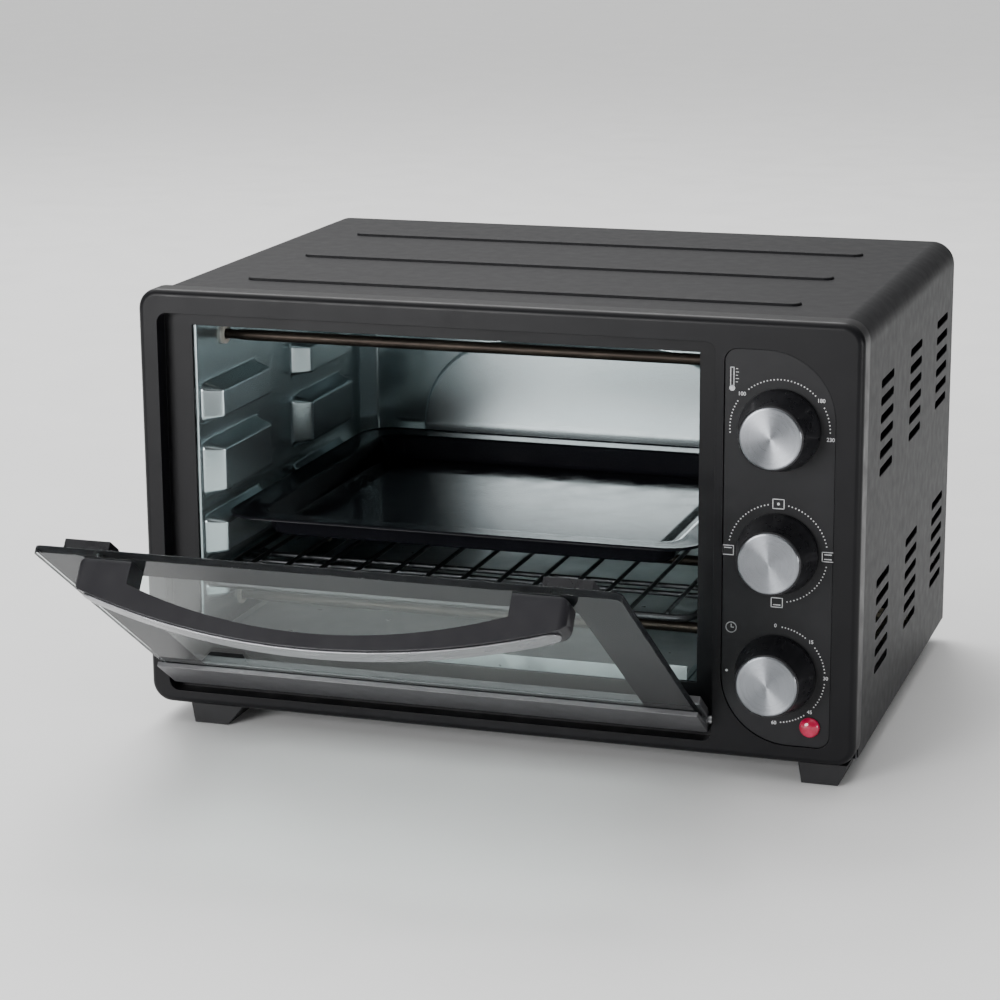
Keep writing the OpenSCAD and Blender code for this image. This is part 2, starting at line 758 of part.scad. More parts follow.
// The ceramic bushes that hold the elements in the cavity walls
module heater_insulators() color("#e6e0d2") {
    for (p = heater_spots(), x = [cav_x0 - 7, cav_x1 - 2]) difference() {
        rod_x(x, x + 9, p[0], p[1], insulator_r);
        rod_x(x - eps, x + 9 + eps, p[0], p[1], heater_r + 0.1);
    }
}

// ---- Controls ----

// Places what is drawn along Z so that it points out of the panel's front at a control
module at_control(i) {
    translate([knob_x, panel_y, knob_z[i]]) rotate([90, 0, 0]) children();
}

// A control's threaded bush and the bore its shaft turns in, behind and through the panel
module control_bush(depth) {
    difference() {
        union() {
            children();
            translate([0, 0, -control_y - eps]) cylinder(h = control_y + eps + nut_h + 1.5, r = bush_r);
        }
        translate([0, 0, -control_y - depth]) cylinder(h = depth + control_y + nut_h + 5, r = shaft_r + run_gap);
    }
}

module thermostat() color("#b9b3a4") at_control(0) control_bush(8) {
    plate = [30, 24, 12];
    can_r = 11;
    can_h = 10;
    tab = [6, 1, 12];
    translate([-plate[0] / 2, -plate[1] / 2, -control_y - plate[2]]) cube(plate);
    translate([0, 0, -control_y - plate[2] - can_h]) cylinder(h = can_h + eps, r = can_r);
    for (side = [-1, 1]) translate([side * 9 - tab[0] / 2, -tab[1] / 2, -control_y - 30]) cube(tab);
}

module function_switch() color("#c8c0a8") at_control(1) control_bush(8) {
    drum_r = 19;
    drum_h = 20;
    tab = [1, 6, 9];
    translate([0, 0, -control_y - drum_h]) cylinder(h = drum_h, r = drum_r);
    for (a = [0 : 60 : 300]) rotate(a) translate([12, -tab[1] / 2, -control_y - drum_h - tab[2] + eps]) cube(tab);
}

module timer() color("#a8abae") at_control(2) control_bush(8) {
    case = [48, 44, 26];
    bell_r = 17;
    bell_h = 10;
    translate([-case[0] / 2, -case[1] / 2, -control_y - case[2]]) cube(case);
    translate([0, 4, -control_y - case[2] - bell_h]) cylinder(h = bell_h + eps, r = bell_r);
}

// The hexagonal nuts that clamp the controls to the panel
module shaft_nuts() color("#a8abae") {
    for (i = [0 : 2]) at_control(i) difference() {
        cylinder(h = nut_h, r = nut_r, $fn = 6);
        translate([0, 0, -eps]) cylinder(h = nut_h + 2 * eps, r = bush_r + 0.05);
    }
}

// A turned knob with a hollow skirt and a boss for the shaft
module knob(i) color("#1b1b1d") at_control(i) difference() {
    union() {
        difference() {
            rotate_extrude() polygon([
                [0, knob_lift], [knob_r, knob_lift], [knob_r, knob_lift + 2.5], [knob_r - 1.6, knob_lift + 4],
                [knob_front_r, knob_h - 1], [knob_front_r - 1, knob_h], [0, knob_h]
            ]);
            translate([0, 0, knob_lift - eps])
                cylinder(h = knob_h - knob_lift - 6 + eps, r1 = knob_r - knob_wall, r2 = knob_front_r - knob_wall);
        }
        translate([0, 0, nut_h + 3]) cylinder(h = knob_h - nut_h - 8, r = shaft_r + 3);
    }
    translate([0, 0, knob_h - knob_cap_t + 0.4]) cylinder(h = knob_cap_t, r = knob_cap_r + 0.05);
    shaft_key(knob_h - 5.9, 0.05);
}

// The D-shaped end of a shaft, grown by a gap
module shaft_key(top, grow) {
    linear_extrude(top) difference() {
        circle(shaft_r + grow);
        translate([shaft_flat + grow, -shaft_r - eps]) square(2 * (shaft_r + eps));
    }
}

module knob_cap(i) color("#c9ccd0") at_control(i)
    translate([0, 0, knob_h - knob_cap_t + 0.4]) cylinder(h = knob_cap_t, r = knob_cap_r);

// A control's shaft: round where it turns in its bush and D-shaped in the knob
module shaft(i) color("#b0b3b6") at_control(i) {
    translate([0, 0, -control_y - 7.5]) cylinder(h = control_y + 7.5 + nut_h + 2, r = shaft_r);
    shaft_key(knob_h - 6, 0);
}

module temperature_knob() knob(0);
module temperature_knob_cap() knob_cap(0);
module temperature_shaft() shaft(0);
module function_knob() knob(1);
module function_knob_cap() knob_cap(1);
module function_shaft() shaft(1);
module timer_knob() knob(2);
module timer_knob_cap() knob_cap(2);
module timer_shaft() shaft(2);

// Places what is drawn along Z so that it points out of the panel's front at the lamp
module at_lamp() {
    translate([lamp_x, panel_y, lamp_z]) rotate([90, 0, 0]) children();
}

// The domed red lens with its stem through the panel
module lamp_lens() color("#b3202c") at_lamp() {
    ball_r = (lamp_r * lamp_r + lamp_h * lamp_h) / (2 * lamp_h);
    intersection() {
        translate([0, 0, lamp_h - ball_r]) sphere(ball_r);
        cylinder(h = lamp_h + eps, r = lamp_r + eps);
    }
    translate([0, 0, -6]) cylinder(h = 6.2, r = lamp_hole_r);
}

// The socket behind the panel that holds the lens and its lamp
module lamp_holder() color("#e0ddd2") at_lamp() difference() {
    translate([0, 0, -20]) cylinder(h = 20 - panel_t - 2.6, r = lamp_hole_r + 1.6);
    translate([0, 0, -18]) cylinder(h = 20, r = lamp_hole_r + 0.1);
}

// The block where the cord's conductors are clamped, on the base between the heat shield and the cover
module terminal_block() color("#d8d4c8") {
    size = [36, 20, 16];
    way = 11;
    entry_r = 2.4;
    screw_well_r = 1.8;
    x = (shield_x + flange + base_x) / 2;
    y = cav_y1 - 40;
    z = base_z + sheet_t;
    difference() {
        span_box(x - size[0] / 2, x + size[0] / 2, y - size[1] / 2, y + size[1] / 2, z, z + size[2]);
        for (i = [-1, 0, 1]) {
            rod_y(y - size[1], y + size[1], x + i * way, z + size[2] / 2, entry_r);
            translate([x + i * way, y, z + size[2] / 2]) cylinder(h = size[2], r = screw_well_r);
        }
    }
}

// The bush in the back panel that the cord passes through
module cord_gland() color("#1d1d1f") {
    y1 = back_y + gland_flange_t;
    barb = 3;
    difference() {
        union() {
            rod_y(y1 - gland_len, y1, gland_x, gland_z, gland_r);
            rod_y(back_y, y1, gland_x, gland_z, gland_flange_r);
            rod_y(cover_y1 - barb, cover_y1, gland_x, gland_z, gland_r + barb / 2);
        }
        rod_y(y1 - gland_len - eps, y1 + eps, gland_x, gland_z, cord_r);
    }
}

// ---- Door ----

// Places what is drawn closed, with the hinge axis on X and the glass standing in front of it
module on_door() {
    translate([0, hinge_y, hinge_z]) rotate([door_rest, 0, 0]) children();
}

module door_glass() color("#9fb4ad") on_door() difference() {
    extrude_back(-glass_t, glass_t)
        translate([door_mid, (glass_slot + door_len) / 2])
            rounded_rect(door_x1 - door_x0 - 2 * glass_inset, door_len - glass_slot, glass_r);
    for (side = [-1, 1])
        rod_y(-glass_t - eps, eps, door_mid + side * handle_screw_out, handle_mid_s + 2, handle_screw_r + 1);
}

// The bottom rail: it grips the glass and carries the hinge pins
module door_rail() color("#3b3b3e") on_door() difference() {
    extrude_right(door_x0, door_x1 - door_x0) {
        difference() {
            translate([-glass_t - rail_front, -rail_down])
                square([rail_back + glass_t + rail_front, rail_up + rail_down]);
            translate([-glass_t - rail_front, -rail_down]) corner_waste(rail_r);
            translate([rail_back, -rail_down]) mirror([1, 0]) corner_waste(rail_r);
        }
    }
    span_box(door_x0 - eps, door_x1 + eps, -glass_t - 0.1, 0.1, glass_slot - 0.1, rail_up + eps);
    rod_x(door_x0 - eps, door_x0 + pin_in_rail, 0, 0, pin_r + run_gap);
    rod_x(door_x1 - pin_in_rail, door_x1 + eps, 0, 0, pin_r + run_gap);
}

// The pins turn in the frame and sit fast in the rail
module hinge_pin_left() color("#b0b3b6") on_door()
    rod_x(rec_x0 - frame_t + 0.3, door_x0 + pin_in_rail - 0.3, 0, 0, pin_r);
module hinge_pin_right() color("#b0b3b6") on_door()
    rod_x(door_x1 - pin_in_rail + 0.3, rec_x1 + frame_t - 0.3, 0, 0, pin_r);

// The bowed handle seen along the door, in X and in reach from the glass
module handle_plan() {
    difference() {
        intersection() {
            translate([0, handle_reach - handle_out_r]) circle(handle_out_r, $fn = 180);
            translate([-handle_w / 2, 0]) square([handle_w, handle_reach + eps]);
        }
        intersection() {
            translate([0, finger_depth - finger_r]) circle(finger_r, $fn = 180);
            translate([-handle_gap_half, -eps]) square([2 * handle_gap_half, finger_depth + 2 * eps]);
        }
    }
}

// Stands an outline in X and reach on the glass, between two distances up the door
module on_glass(s0, height) {
    translate([door_mid, -glass_t, s0]) mirror([0, 1, 0]) linear_extrude(height) children();
}

module door_handle() color("#3a393d") on_door() difference() {
    on_glass(handle_s0, handle_h) handle_plan();
    for (side = [-1, 1])
        rod_y(-glass_t - 10, -glass_t + eps, door_mid + side * handle_screw_out, handle_mid_s + 2, handle_screw_r + 0.05);
}

// The bright strip that follows the handle's front
module handle_trim() color("#c4c6ca") on_door() {
    half = handle_w / 2 - 4;
    intersection() {
        on_glass(handle_mid_s - trim_h / 2, trim_h) difference() {
            translate([0, handle_reach - handle_out_r]) circle(handle_out_r + trim_t, $fn = 180);
            translate([0, handle_reach - handle_out_r]) circle(handle_out_r + 0.05, $fn = 180);
        }
        extrude_back(-glass_t - handle_reach - 5, handle_reach)
            translate([door_mid, handle_mid_s]) stadium(2 * half, trim_h);
    }
}

// The blocks behind the glass that the handle's screws clamp
module handle_block(side) color("#1d1d1f") on_door() difference() {
    x = door_mid + side * (handle_w / 2 + block_over - block_w / 2);
    s0 = handle_mid_s + 2 - block_h / 2;
    span_box(x - block_w / 2, x + block_w / 2, 0, block_t, s0, s0 + block_h);
    rod_y(-eps, block_t + eps, door_mid + side * handle_screw_out, handle_mid_s + 2, handle_screw_r + 0.1);
    rod_y(block_t - 2.6, block_t + eps, door_mid + side * handle_screw_out, handle_mid_s + 2, handle_screw_r + 2.2);
}
module handle_block_left() handle_block(-1);
module handle_block_right() handle_block(1);

// The two screws through the blocks and the glass into the handle's feet
module handle_screws() color("#9a9da0") on_door() {
    for (side = [-1, 1]) {
        rod_y(-glass_t - 9, block_t - 1.5, door_mid + side * handle_screw_out, handle_mid_s + 2, handle_screw_r);
        rod_y(block_t - 2.6, block_t - 0.6, door_mid + side * handle_screw_out, handle_mid_s + 2, handle_screw_r + 1.8);
    }
}

// ---- Rack and trays ----

// A frame of thick wire with thin long wires across it and two cross wires below them
module wire_rack() color("#8d9092") {
    r = rack_wire_r;
    side_r = r - 0.15;
    xa = rack_x0 + r;
    xb = rack_x1 - r;
    ya = rack_y0 + r;
    yb = rack_y1 - r;
    rod_z = rack_z + r + rack_rod_r - 0.5;
    cross_from_front = [46, 62];
    cross_from_back = 70;
    cross_r = r - 0.4;
    pitch = (rack_x1 - rack_x0 - 2 * rack_rod_in) / (rack_rods - 1);
    for (x = [xa, xb]) rod_y(ya, yb, x, rack_z, side_r);
    for (y = [ya, yb]) rod_x(xa - r, xb + r, y, rack_z, r);
    for (y = cross_from_front) rod_x(xa, xb, ya + y, rack_z + 0.2, cross_r);
    rod_x(xa, xb, yb - cross_from_back, rack_z + 0.2, cross_r);
    for (i = [0 : rack_rods - 1])
        rod_y(ya - 0.5, yb + 0.5, rack_x0 + rack_rod_in + i * pitch, rod_z, rack_rod_r);
}

// A rounded rectangle in plan between two pairs of edges
module plan_rect(x0, x1, y0, y1, r) {
    translate([(x0 + x1) / 2, (y0 + y1) / 2]) rounded_rect(x1 - x0, y1 - y0, r);
}

// The pressed baking tray: rim, walls, and a floor with a raised field
module baking_tray() color("#1f2022") {
    x0 = tray_x0;
    x1 = tray_x1;
    y0 = tray_y0;
    y1 = tray_y1;
    in = tray_rim + 3;
    low = tray_z - tray_depth + tray_t;
    difference() {
        union() {
            translate([0, 0, tray_z]) linear_extrude(tray_t) plan_rect(x0, x1, y0, y1, tray_r);
            translate([0, 0, tray_z + tray_t / 2]) linear_extrude(tray_bead) difference() {
                plan_rect(x0, x1, y0, y1, tray_r);
                plan_rect(x0 + 2, x1 - 2, y0 + 2, y1 - 2, tray_r - 2);
            }
            translate([0, 0, low]) linear_extrude(tray_z - low + tray_t / 2)
                plan_rect(x0 + in, x1 - in, y0 + in, y1 - in, tray_r);
        }
        translate([0, 0, low + tray_t]) linear_extrude(tray_depth + 2 * tray_t)
            plan_rect(x0 + in + tray_t, x1 - in - tray_t, y0 + in + tray_t, y1 - in - tray_t, tray_r - tray_t);
    }
}

// The crumb tray on the cavity floor, with its front lip at the mouth
module crumb_tray() color("#6d7477") {
    x0 = mouth_x0 + crumb_side;
    x1 = mouth_x1 - crumb_side;
    y0 = front_y + crumb_front;
    y1 = cav_y1 - field_t - 6;
    span_box(x0, x1, y0, y1, crumb_z, crumb_z + sheet_t);
    span_box(x0, x1, y0, y0 + sheet_t, crumb_z, crumb_z + crumb_lip);
    span_box(x0, x1, y1 - sheet_t, y1, crumb_z, crumb_z + crumb_edge);
    for (x = [x0, x1 - sheet_t]) span_box(x, x + sheet_t, y0, y1, crumb_z, crumb_z + crumb_edge);
}

front_frame();
control_panel();
outer_cover();
back_panel();
bottom_plate();
cavity_left_wall();
cavity_right_wall();
cavity_top();
cavity_floor();
cavity_back();
heat_shield();
upper_front_heater();
upper_rear_heater();
lower_front_heater();
lower_rear_heater();
heater_insulators();
thermostat();
function_switch();
timer();
shaft_nuts();
lamp_lens();
lamp_holder();
terminal_block();
cord_gland();
foot_front_left();
foot_front_right();
foot_rear_left();
foot_rear_right();
foot_screws();
back_screws();
door_glass();
door_rail();
hinge_pin_left();
hinge_pin_right();
door_handle();
handle_trim();
handle_block_left();
handle_block_right();
handle_screws();
temperature_knob();
temperature_knob_cap();
temperature_shaft();
function_knob();
function_knob_cap();
function_shaft();
timer_knob();
timer_knob_cap();
timer_shaft();
wire_rack();
baking_tray();
crumb_tray();
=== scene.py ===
import json
import math

import bmesh
import bpy
from mathutils import Matrix, Vector

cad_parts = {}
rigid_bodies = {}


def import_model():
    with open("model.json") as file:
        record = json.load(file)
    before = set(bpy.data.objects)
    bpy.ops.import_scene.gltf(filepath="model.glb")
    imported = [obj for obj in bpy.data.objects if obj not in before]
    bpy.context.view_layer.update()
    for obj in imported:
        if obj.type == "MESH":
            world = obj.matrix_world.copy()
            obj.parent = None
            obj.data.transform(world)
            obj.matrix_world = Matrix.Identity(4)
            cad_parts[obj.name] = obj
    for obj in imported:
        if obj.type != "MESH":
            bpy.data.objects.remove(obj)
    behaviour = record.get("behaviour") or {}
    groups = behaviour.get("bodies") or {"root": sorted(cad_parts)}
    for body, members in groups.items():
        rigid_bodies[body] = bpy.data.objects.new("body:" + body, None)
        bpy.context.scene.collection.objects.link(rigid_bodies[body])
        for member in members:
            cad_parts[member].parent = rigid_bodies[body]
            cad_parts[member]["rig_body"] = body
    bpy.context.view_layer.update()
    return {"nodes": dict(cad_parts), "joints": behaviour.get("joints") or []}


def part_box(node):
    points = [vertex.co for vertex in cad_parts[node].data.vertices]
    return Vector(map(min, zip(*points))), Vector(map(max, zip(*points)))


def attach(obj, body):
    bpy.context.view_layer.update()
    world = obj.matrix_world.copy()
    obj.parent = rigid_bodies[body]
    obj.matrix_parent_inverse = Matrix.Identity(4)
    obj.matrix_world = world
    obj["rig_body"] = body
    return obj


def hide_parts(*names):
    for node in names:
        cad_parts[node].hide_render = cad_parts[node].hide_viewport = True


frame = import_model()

# ---- Camera, floor and light ----
# A long lens stands to the right of the oven and a little above it. The oven stands on a pale
# table top in a white room that is darker to the right. Wide soft lamps hang behind it and in
# front of it, and a small one stands at its right.
mm = 0.001
camera = bpy.data.objects.new("camera", bpy.data.cameras.new("camera"))
bpy.context.scene.collection.objects.link(camera)
camera.location = (477.09 * mm, -1493.90 * mm, 526.06 * mm)
camera.rotation_euler = (math.radians(76.012), math.radians(0.39), math.radians(18.002))
camera.data.lens = 100.85
camera.data.clip_start = 0.05
bpy.context.scene.camera = camera


def finish(name, colour, roughness, metallic=0.0, coat=0.0, gloss=0.5):
    """A new surface finish with plain values, to which patterns are added."""
    made = bpy.data.materials.new(name)
    made.use_nodes = True
    surface = made.node_tree.nodes["Principled BSDF"]
    surface.inputs["Base Color"].default_value = (*colour, 1)
    surface.inputs["Roughness"].default_value = roughness
    surface.inputs["Metallic"].default_value = metallic
    surface.inputs["Coat Weight"].default_value = coat
    surface.inputs["Coat Roughness"].default_value = 0.12
    surface.inputs["Specular IOR Level"].default_value = gloss
    return made


def add(made, kind, inputs=None, **settings):
    """Adds a node to a finish. An input may be a plain value or another node's output."""
    node = made.node_tree.nodes.new("ShaderNode" + kind)
    for key, value in settings.items():
        setattr(node, key, value)
    for key, value in (inputs or {}).items():
        if isinstance(value, bpy.types.NodeSocket):
            made.node_tree.links.new(value, node.inputs[key])
        else:
            node.inputs[key].default_value = value
    return node


def drive(made, socket, source):
    """Lets a pattern drive one of the surface's own values."""
    made.node_tree.links.new(source, made.node_tree.nodes["Principled BSDF"].inputs[socket])


def cloud(made, grain, low, high, detail=3.0, stretch=(1, 1, 1)):
    """A soft random value from low to high, with a grain in millimetres."""
    place = add(made, "TexCoord").outputs["Object"]
    place = add(made, "Mapping", {"Vector": place, "Scale": stretch}).outputs[0]
    noise = add(made, "TexNoise", {"Vector": place, "Scale": 1 / (grain * mm), "Detail": detail})
    return add(made, "MapRange", {"Value": noise.outputs[0], "From Min": 0.3, "From Max": 0.7,
                                  "To Min": low, "To Max": high}, clamp=False).outputs[0]


def blend(made, share, first, second):
    """A colour that goes from the first to the second with the share."""
    mixed = add(made, "MixRGB", {0: share, 1: (*first, 1), 2: (*second, 1)})
    return mixed.outputs[0]


def mottle(made, grain, first, second, detail=3.0, stretch=(1, 1, 1)):
    """Lets the colour wander between two, with a grain in millimetres."""
    drive(made, "Base Color", blend(made, cloud(made, grain, 0, 1, detail, stretch), first, second))


def relief(made, height, depth, strength):
    """Raises the surface by a pattern, by a depth in millimetres."""
    inputs = {"Height": height, "Distance": depth * mm, "Strength": strength}
    drive(made, "Normal", add(made, "Bump", inputs).outputs[0])


def solid(name, corners, faces):
    """A piece from its corners and faces, with every face turned outwards."""
    mesh = bpy.data.meshes.new(name)
    mesh.from_pydata([tuple(c) for c in corners], [], faces)
    shape = bmesh.new()
    shape.from_mesh(mesh)
    bmesh.ops.recalc_face_normals(shape, faces=shape.faces)
    shape.to_mesh(mesh)
    shape.free()
    piece = bpy.data.objects.new(name, mesh)
    bpy.context.scene.collection.objects.link(piece)
    return piece


table_white = finish("table_white", (0.93, 0.93, 0.925), 0.6)
drive(table_white, "Roughness", cloud(table_white, 60, 0.5, 0.7))
mottle(table_white, 90, (0.92, 0.92, 0.915), (0.94, 0.94, 0.935))
table_half, table_z = 9, -0.0004
table = solid("table_top", [(-table_half, -table_half, table_z), (table_half, -table_half, table_z),
                            (table_half, table_half, table_z), (-table_half, table_half, table_z)],
              [(0, 1, 2, 3)])
table.data.materials.append(table_white)

world = bpy.data.worlds.new("white_room")
world.use_nodes = True
bpy.context.scene.world = world
room = world.node_tree.nodes
way = room.new("ShaderNodeTexCoord")
apart = room.new("ShaderNodeSeparateXYZ")
across = room.new("ShaderNodeMapRange")
lift = room.new("ShaderNodeMapRange")
level = room.new("ShaderNodeMath")
overhead = room.new("ShaderNodeMapRange")
total = room.new("ShaderNodeMath")
seen = room.new("ShaderNodeLightPath")
shown = room.new("ShaderNodeMixRGB")
for fade, reach, brightness in ((across, (-1, 1), (1.0, 0.08)), (lift, (-0.9, 0.5), (0.2, 0.75)),
                                (overhead, (0.5, 0.95), (1.0, 6.0))):
    for socket, value in zip(("From Min", "From Max", "To Min", "To Max"), (*reach, *brightness)):
        fade.inputs[socket].default_value = value
level.operation = total.operation = "MULTIPLY"
shown.inputs[2].default_value = (1, 1, 1, 1)
for source, target in (
    (way.outputs["Generated"], apart.inputs[0]),
    (apart.outputs["X"], across.inputs["Value"]),
    (apart.outputs["Y"], lift.inputs["Value"]),
    (across.outputs[0], level.inputs[0]),
    (lift.outputs[0], level.inputs[1]),
    (apart.outputs["Z"], overhead.inputs["Value"]),
    (level.outputs[0], total.inputs[0]),
    (overhead.outputs[0], total.inputs[1]),
    (seen.outputs["Is Camera Ray"], shown.inputs[0]),
    (total.outputs[0], shown.inputs[1]),
    (shown.outputs[0], room["Background"].inputs["Color"]),
):
    world.node_tree.links.new(source, target)


def lamp(name, place, aim, width, power):
    """A wide soft lamp that looks at a point."""
    light = bpy.data.objects.new(name, bpy.data.lights.new(name, "AREA"))
    light.data.size = width
    light.data.energy = power
    light.location = place
    light.rotation_euler = (Vector(aim) - Vector(place)).to_track_quat("-Z", "Y").to_euler()
    bpy.context.scene.collection.objects.link(light)


lamp("front_lamp", (-0.95, -2.2, 0.6), (0, 0.1, 0.16), 1.0, 52)
lamp("top_lamp", (-0.9, 1.5, 2.3), (-0.1, -0.2, 0), 1.8, 48)
lamp("edge_lamp", (1.9, -0.75, 0.12), (0.2, -0.2, 0.14), 0.5, 11)


def stand_for(piece, made, *nodes):
    """Gives a piece its finish, and lets it stand for CAD nodes on the first one's body."""
    piece.data.materials.clear()
    piece.data.materials.append(made)
    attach(piece, frame["nodes"][nodes[0]]["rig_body"])
    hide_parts(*nodes)


def rounded(piece, angle=32):
    """Shades a piece smooth except over edges sharper than the angle."""
    piece.data.polygons.foreach_set("use_smooth", [True] * len(piece.data.polygons))
    piece.data.set_sharp_from_angle(angle=math.radians(angle))
    piece.modifiers.new("even_shading", "WEIGHTED_NORMAL").keep_sharp = True
    return piece


def eased(name, node, radius, wider=()):
    """A copy of a CAD solid with its sharp edges rounded, in millimetres.
    wider lists (radius, test) pairs: edges whose two ends pass the test are rounded that much."""
    sharp_turn = math.radians(33)
    shape = bmesh.new()
    shape.from_mesh(frame["nodes"][node].data)
    bmesh.ops.remove_doubles(shape, verts=shape.verts, dist=2e-6)
    bmesh.ops.dissolve_limit(shape, angle_limit=math.radians(0.4), verts=shape.verts,
                             edges=shape.edges)
    for size, wanted in [*wider, (radius, None)]:
        sharp = [
            e for e in shape.edges
            if len(e.link_faces) == 2 and e.calc_face_angle() > sharp_turn
            and (wanted is None or all(wanted(v.co / mm) for v in e.verts))
        ]
        bmesh.ops.bevel(shape, geom=sharp, offset=size * mm, segments=6 if wanted else 3,
                        profile=0.5, affect="EDGES", clamp_overlap=True)
    mesh = bpy.data.meshes.new(name)
    shape.to_mesh(mesh)
    shape.free()
    piece = bpy.data.objects.new(name, mesh)
    bpy.context.scene.collection.objects.link(piece)
    return rounded(piece)


def span(node):
    """The low and the high corner of a CAD solid's box, in millimetres."""
    low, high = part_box(node)
    return low / mm, high / mm


frame_low, frame_high = span("front_frame")
frame_corner_r = 12
near = 0.05


def frame_rim(point):
    """True on the outer edge of the frame's front."""
    from_side = min(point.x - frame_low.x, frame_high.x - point.x)
    from_end = min(point.z - frame_low.z, frame_high.z - point.z)
    in_corner = max(from_side, from_end) < frame_corner_r + 0.2
    on_corner = in_corner and math.hypot(
        frame_corner_r - from_side, frame_corner_r - from_end) > frame_corner_r - 0.5
    return point.y < frame_low.y + near and (min(from_side, from_end) < near or on_corner)


satin_black = finish("satin_black", (0.0055, 0.0055, 0.0065), 0.34, gloss=0.17)
mottle(satin_black, 35, (0.0045, 0.0045, 0.0055), (0.0065, 0.0063, 0.0075))
drive(satin_black, "Roughness", cloud(satin_black, 14, 0.3, 0.42, 4))
relief(satin_black, cloud(satin_black, 0.5, 0, 1, 2), 0.02, 0.5)
stand_for(eased("frame_moulding", "front_frame", 0.7, [(4.0, frame_rim)]), satin_black,
          "front_frame")

# ---- Control panel ----
# A plate of painted steel let into the frame, with two tight and two sweeping corners. The
# scales, the numbers and the symbols are printed on it in white ink.
panel_paint = finish("panel_paint", (0.010, 0.010, 0.0115), 0.38, gloss=0.22)
mottle(panel_paint, 22, (0.0085, 0.0085, 0.010), (0.0115, 0.0115, 0.013))
drive(panel_paint, "Roughness", cloud(panel_paint, 8, 0.36, 0.48, 4))
relief(panel_paint, cloud(panel_paint, 0.35, 0, 1, 2), 0.012, 0.5)
stand_for(eased("panel_plate", "control_panel", 1.5), panel_paint, "control_panel")

knob_joint = {j["name"]: Vector(j["pos_m"]) / mm for j in frame["joints"] if "turn" in j["name"]}
knobs = {name: knob_joint[name + "_turn"] for name in ("temperature", "function", "timer")}
panel_y = span("control_panel")[0].y
ink_out, ink_in = 0.05, 0.02
prints = bmesh.new()


def printed(points):
    """One printed shape: points in X and Z on the panel, in millimetres."""
    front = [prints.verts.new((x * mm, (panel_y - ink_out) * mm, z * mm)) for x, z in points]
    back = [prints.verts.new((x * mm, (panel_y + ink_in) * mm, z * mm)) for x, z in points]
    prints.faces.new(front)
    prints.faces.new(back[::-1])
    for i in range(len(points)):
        j = (i + 1) % len(points)
        prints.faces.new((front[i], back[i], back[j], front[j]))


def circle(x, z, radius, sides=24):
    """Points round a circle in X and Z, in millimetres."""
    return [(x + radius * math.cos(2 * math.pi * i / sides),
             z + radius * math.sin(2 * math.pi * i / sides)) for i in range(sides)]


def dot(x, z, radius, sides=10):
    """A printed dot."""
    printed(circle(x, z, radius, sides))


def line(x0, z0, x1, z1, width):
    """A printed line between two points."""
    away = Vector((z0 - z1, x1 - x0)).normalized() * width / 2
    along = Vector((x1 - x0, z1 - z0)).normalized() * width / 2
    a, b = Vector((x0, z0)) - along, Vector((x1, z1)) + along
    printed([a + away, a - away, b - away, b + away])


def loop(points, width):
    """A printed closed line through the points."""
    for i, start in enumerate(points):
        end = points[(i + 1) % len(points)]
        line(*start, *end, width)


def number(text, x, z, height):
    """A printed number, centred on a point."""
    letters = bpy.data.curves.new("number", "FONT")
    letters.body = text
    letters.size = height * 1.35 * mm
    letters.align_x = "CENTER"
    letters.align_y = "CENTER"
    letters.extrude = 0.035 * mm
    letters.offset = 0.04 * mm
    shown_once = bpy.data.objects.new("number", letters)
    bpy.context.scene.collection.objects.link(shown_once)
    mesh = bpy.data.meshes.new_from_object(
        shown_once.evaluated_get(bpy.context.evaluated_depsgraph_get()))
    mesh.transform(Matrix.Translation((x * mm, (panel_y - 0.015) * mm, z * mm))
                   @ Matrix.Rotation(math.radians(90), 4, "X"))
    prints.from_mesh(mesh)
    bpy.data.objects.remove(shown_once)
    bpy.data.curves.remove(letters)


def round_knob(knob, angle, radius=27.4):
    """A point round a knob, with the angle from the right, turning upwards."""
    turn = math.radians(angle)
    return (knobs[knob].x + radius * math.cos(turn), knobs[knob].z + radius * math.sin(turn))


def dots(knob, start, end, step=4.0):
    """Small dots along the scale, turning downwards from the start to the end."""
    count = max(1, round((start - end) / step))
    for i in range(count + 1):
        dot(*round_knob(knob, start + (end - start) * i / count), 0.4)


dots("temperature", 186, 148)
dots("temperature", 129, 46)
dots("temperature", 29, 0)
for text, angle in (("100", 138.5), ("180", 37.5), ("230", -8)):
    number(text, *round_knob("temperature", angle, 28), 2.2)

dots("function", 168, 102)
dots("function", 78, 12)
dots("function", -12, -78)
box_half, box_high, bar_half, bar_out = 3.1, 2.6, 1.8, 1.3
for angle in (180, 90, 0, -90):
    x, z = round_knob("function", angle, 27.6)
    loop([(x - box_half, z - box_high), (x + box_half, z - box_high),
          (x + box_half, z + box_high), (x - box_half, z + box_high)], 0.42)
    if angle in (180, 0):
        line(x - bar_half, z + bar_out, x + bar_half, z + bar_out, 0.5)
    if angle in (-90, 0):
        line(x - bar_half, z - bar_out, x + bar_half, z - bar_out, 0.5)
    if angle == 90:
        dot(x, z, 0.8)

for start, end in ((83, 54), (38, 7), (-7, -38), (-54, -83)):
    dots("timer", start, end, 3.8)
for text, angle in (("0", 91), ("15", 46), ("30", 0), ("45", -46), ("60", -91)):
    number(text, *round_knob("timer", angle, 27.8), 2.1)
dot(*round_knob("timer", 180), 0.75, 16)

clock_x, clock_z = knobs["timer"].x - 25.2, knobs["timer"].z + 24.9
loop(circle(clock_x, clock_z, 2.9), 0.5)
line(clock_x, clock_z, clock_x, clock_z + 1.7, 0.42)
line(clock_x, clock_z, clock_x + 1.3, clock_z, 0.42)

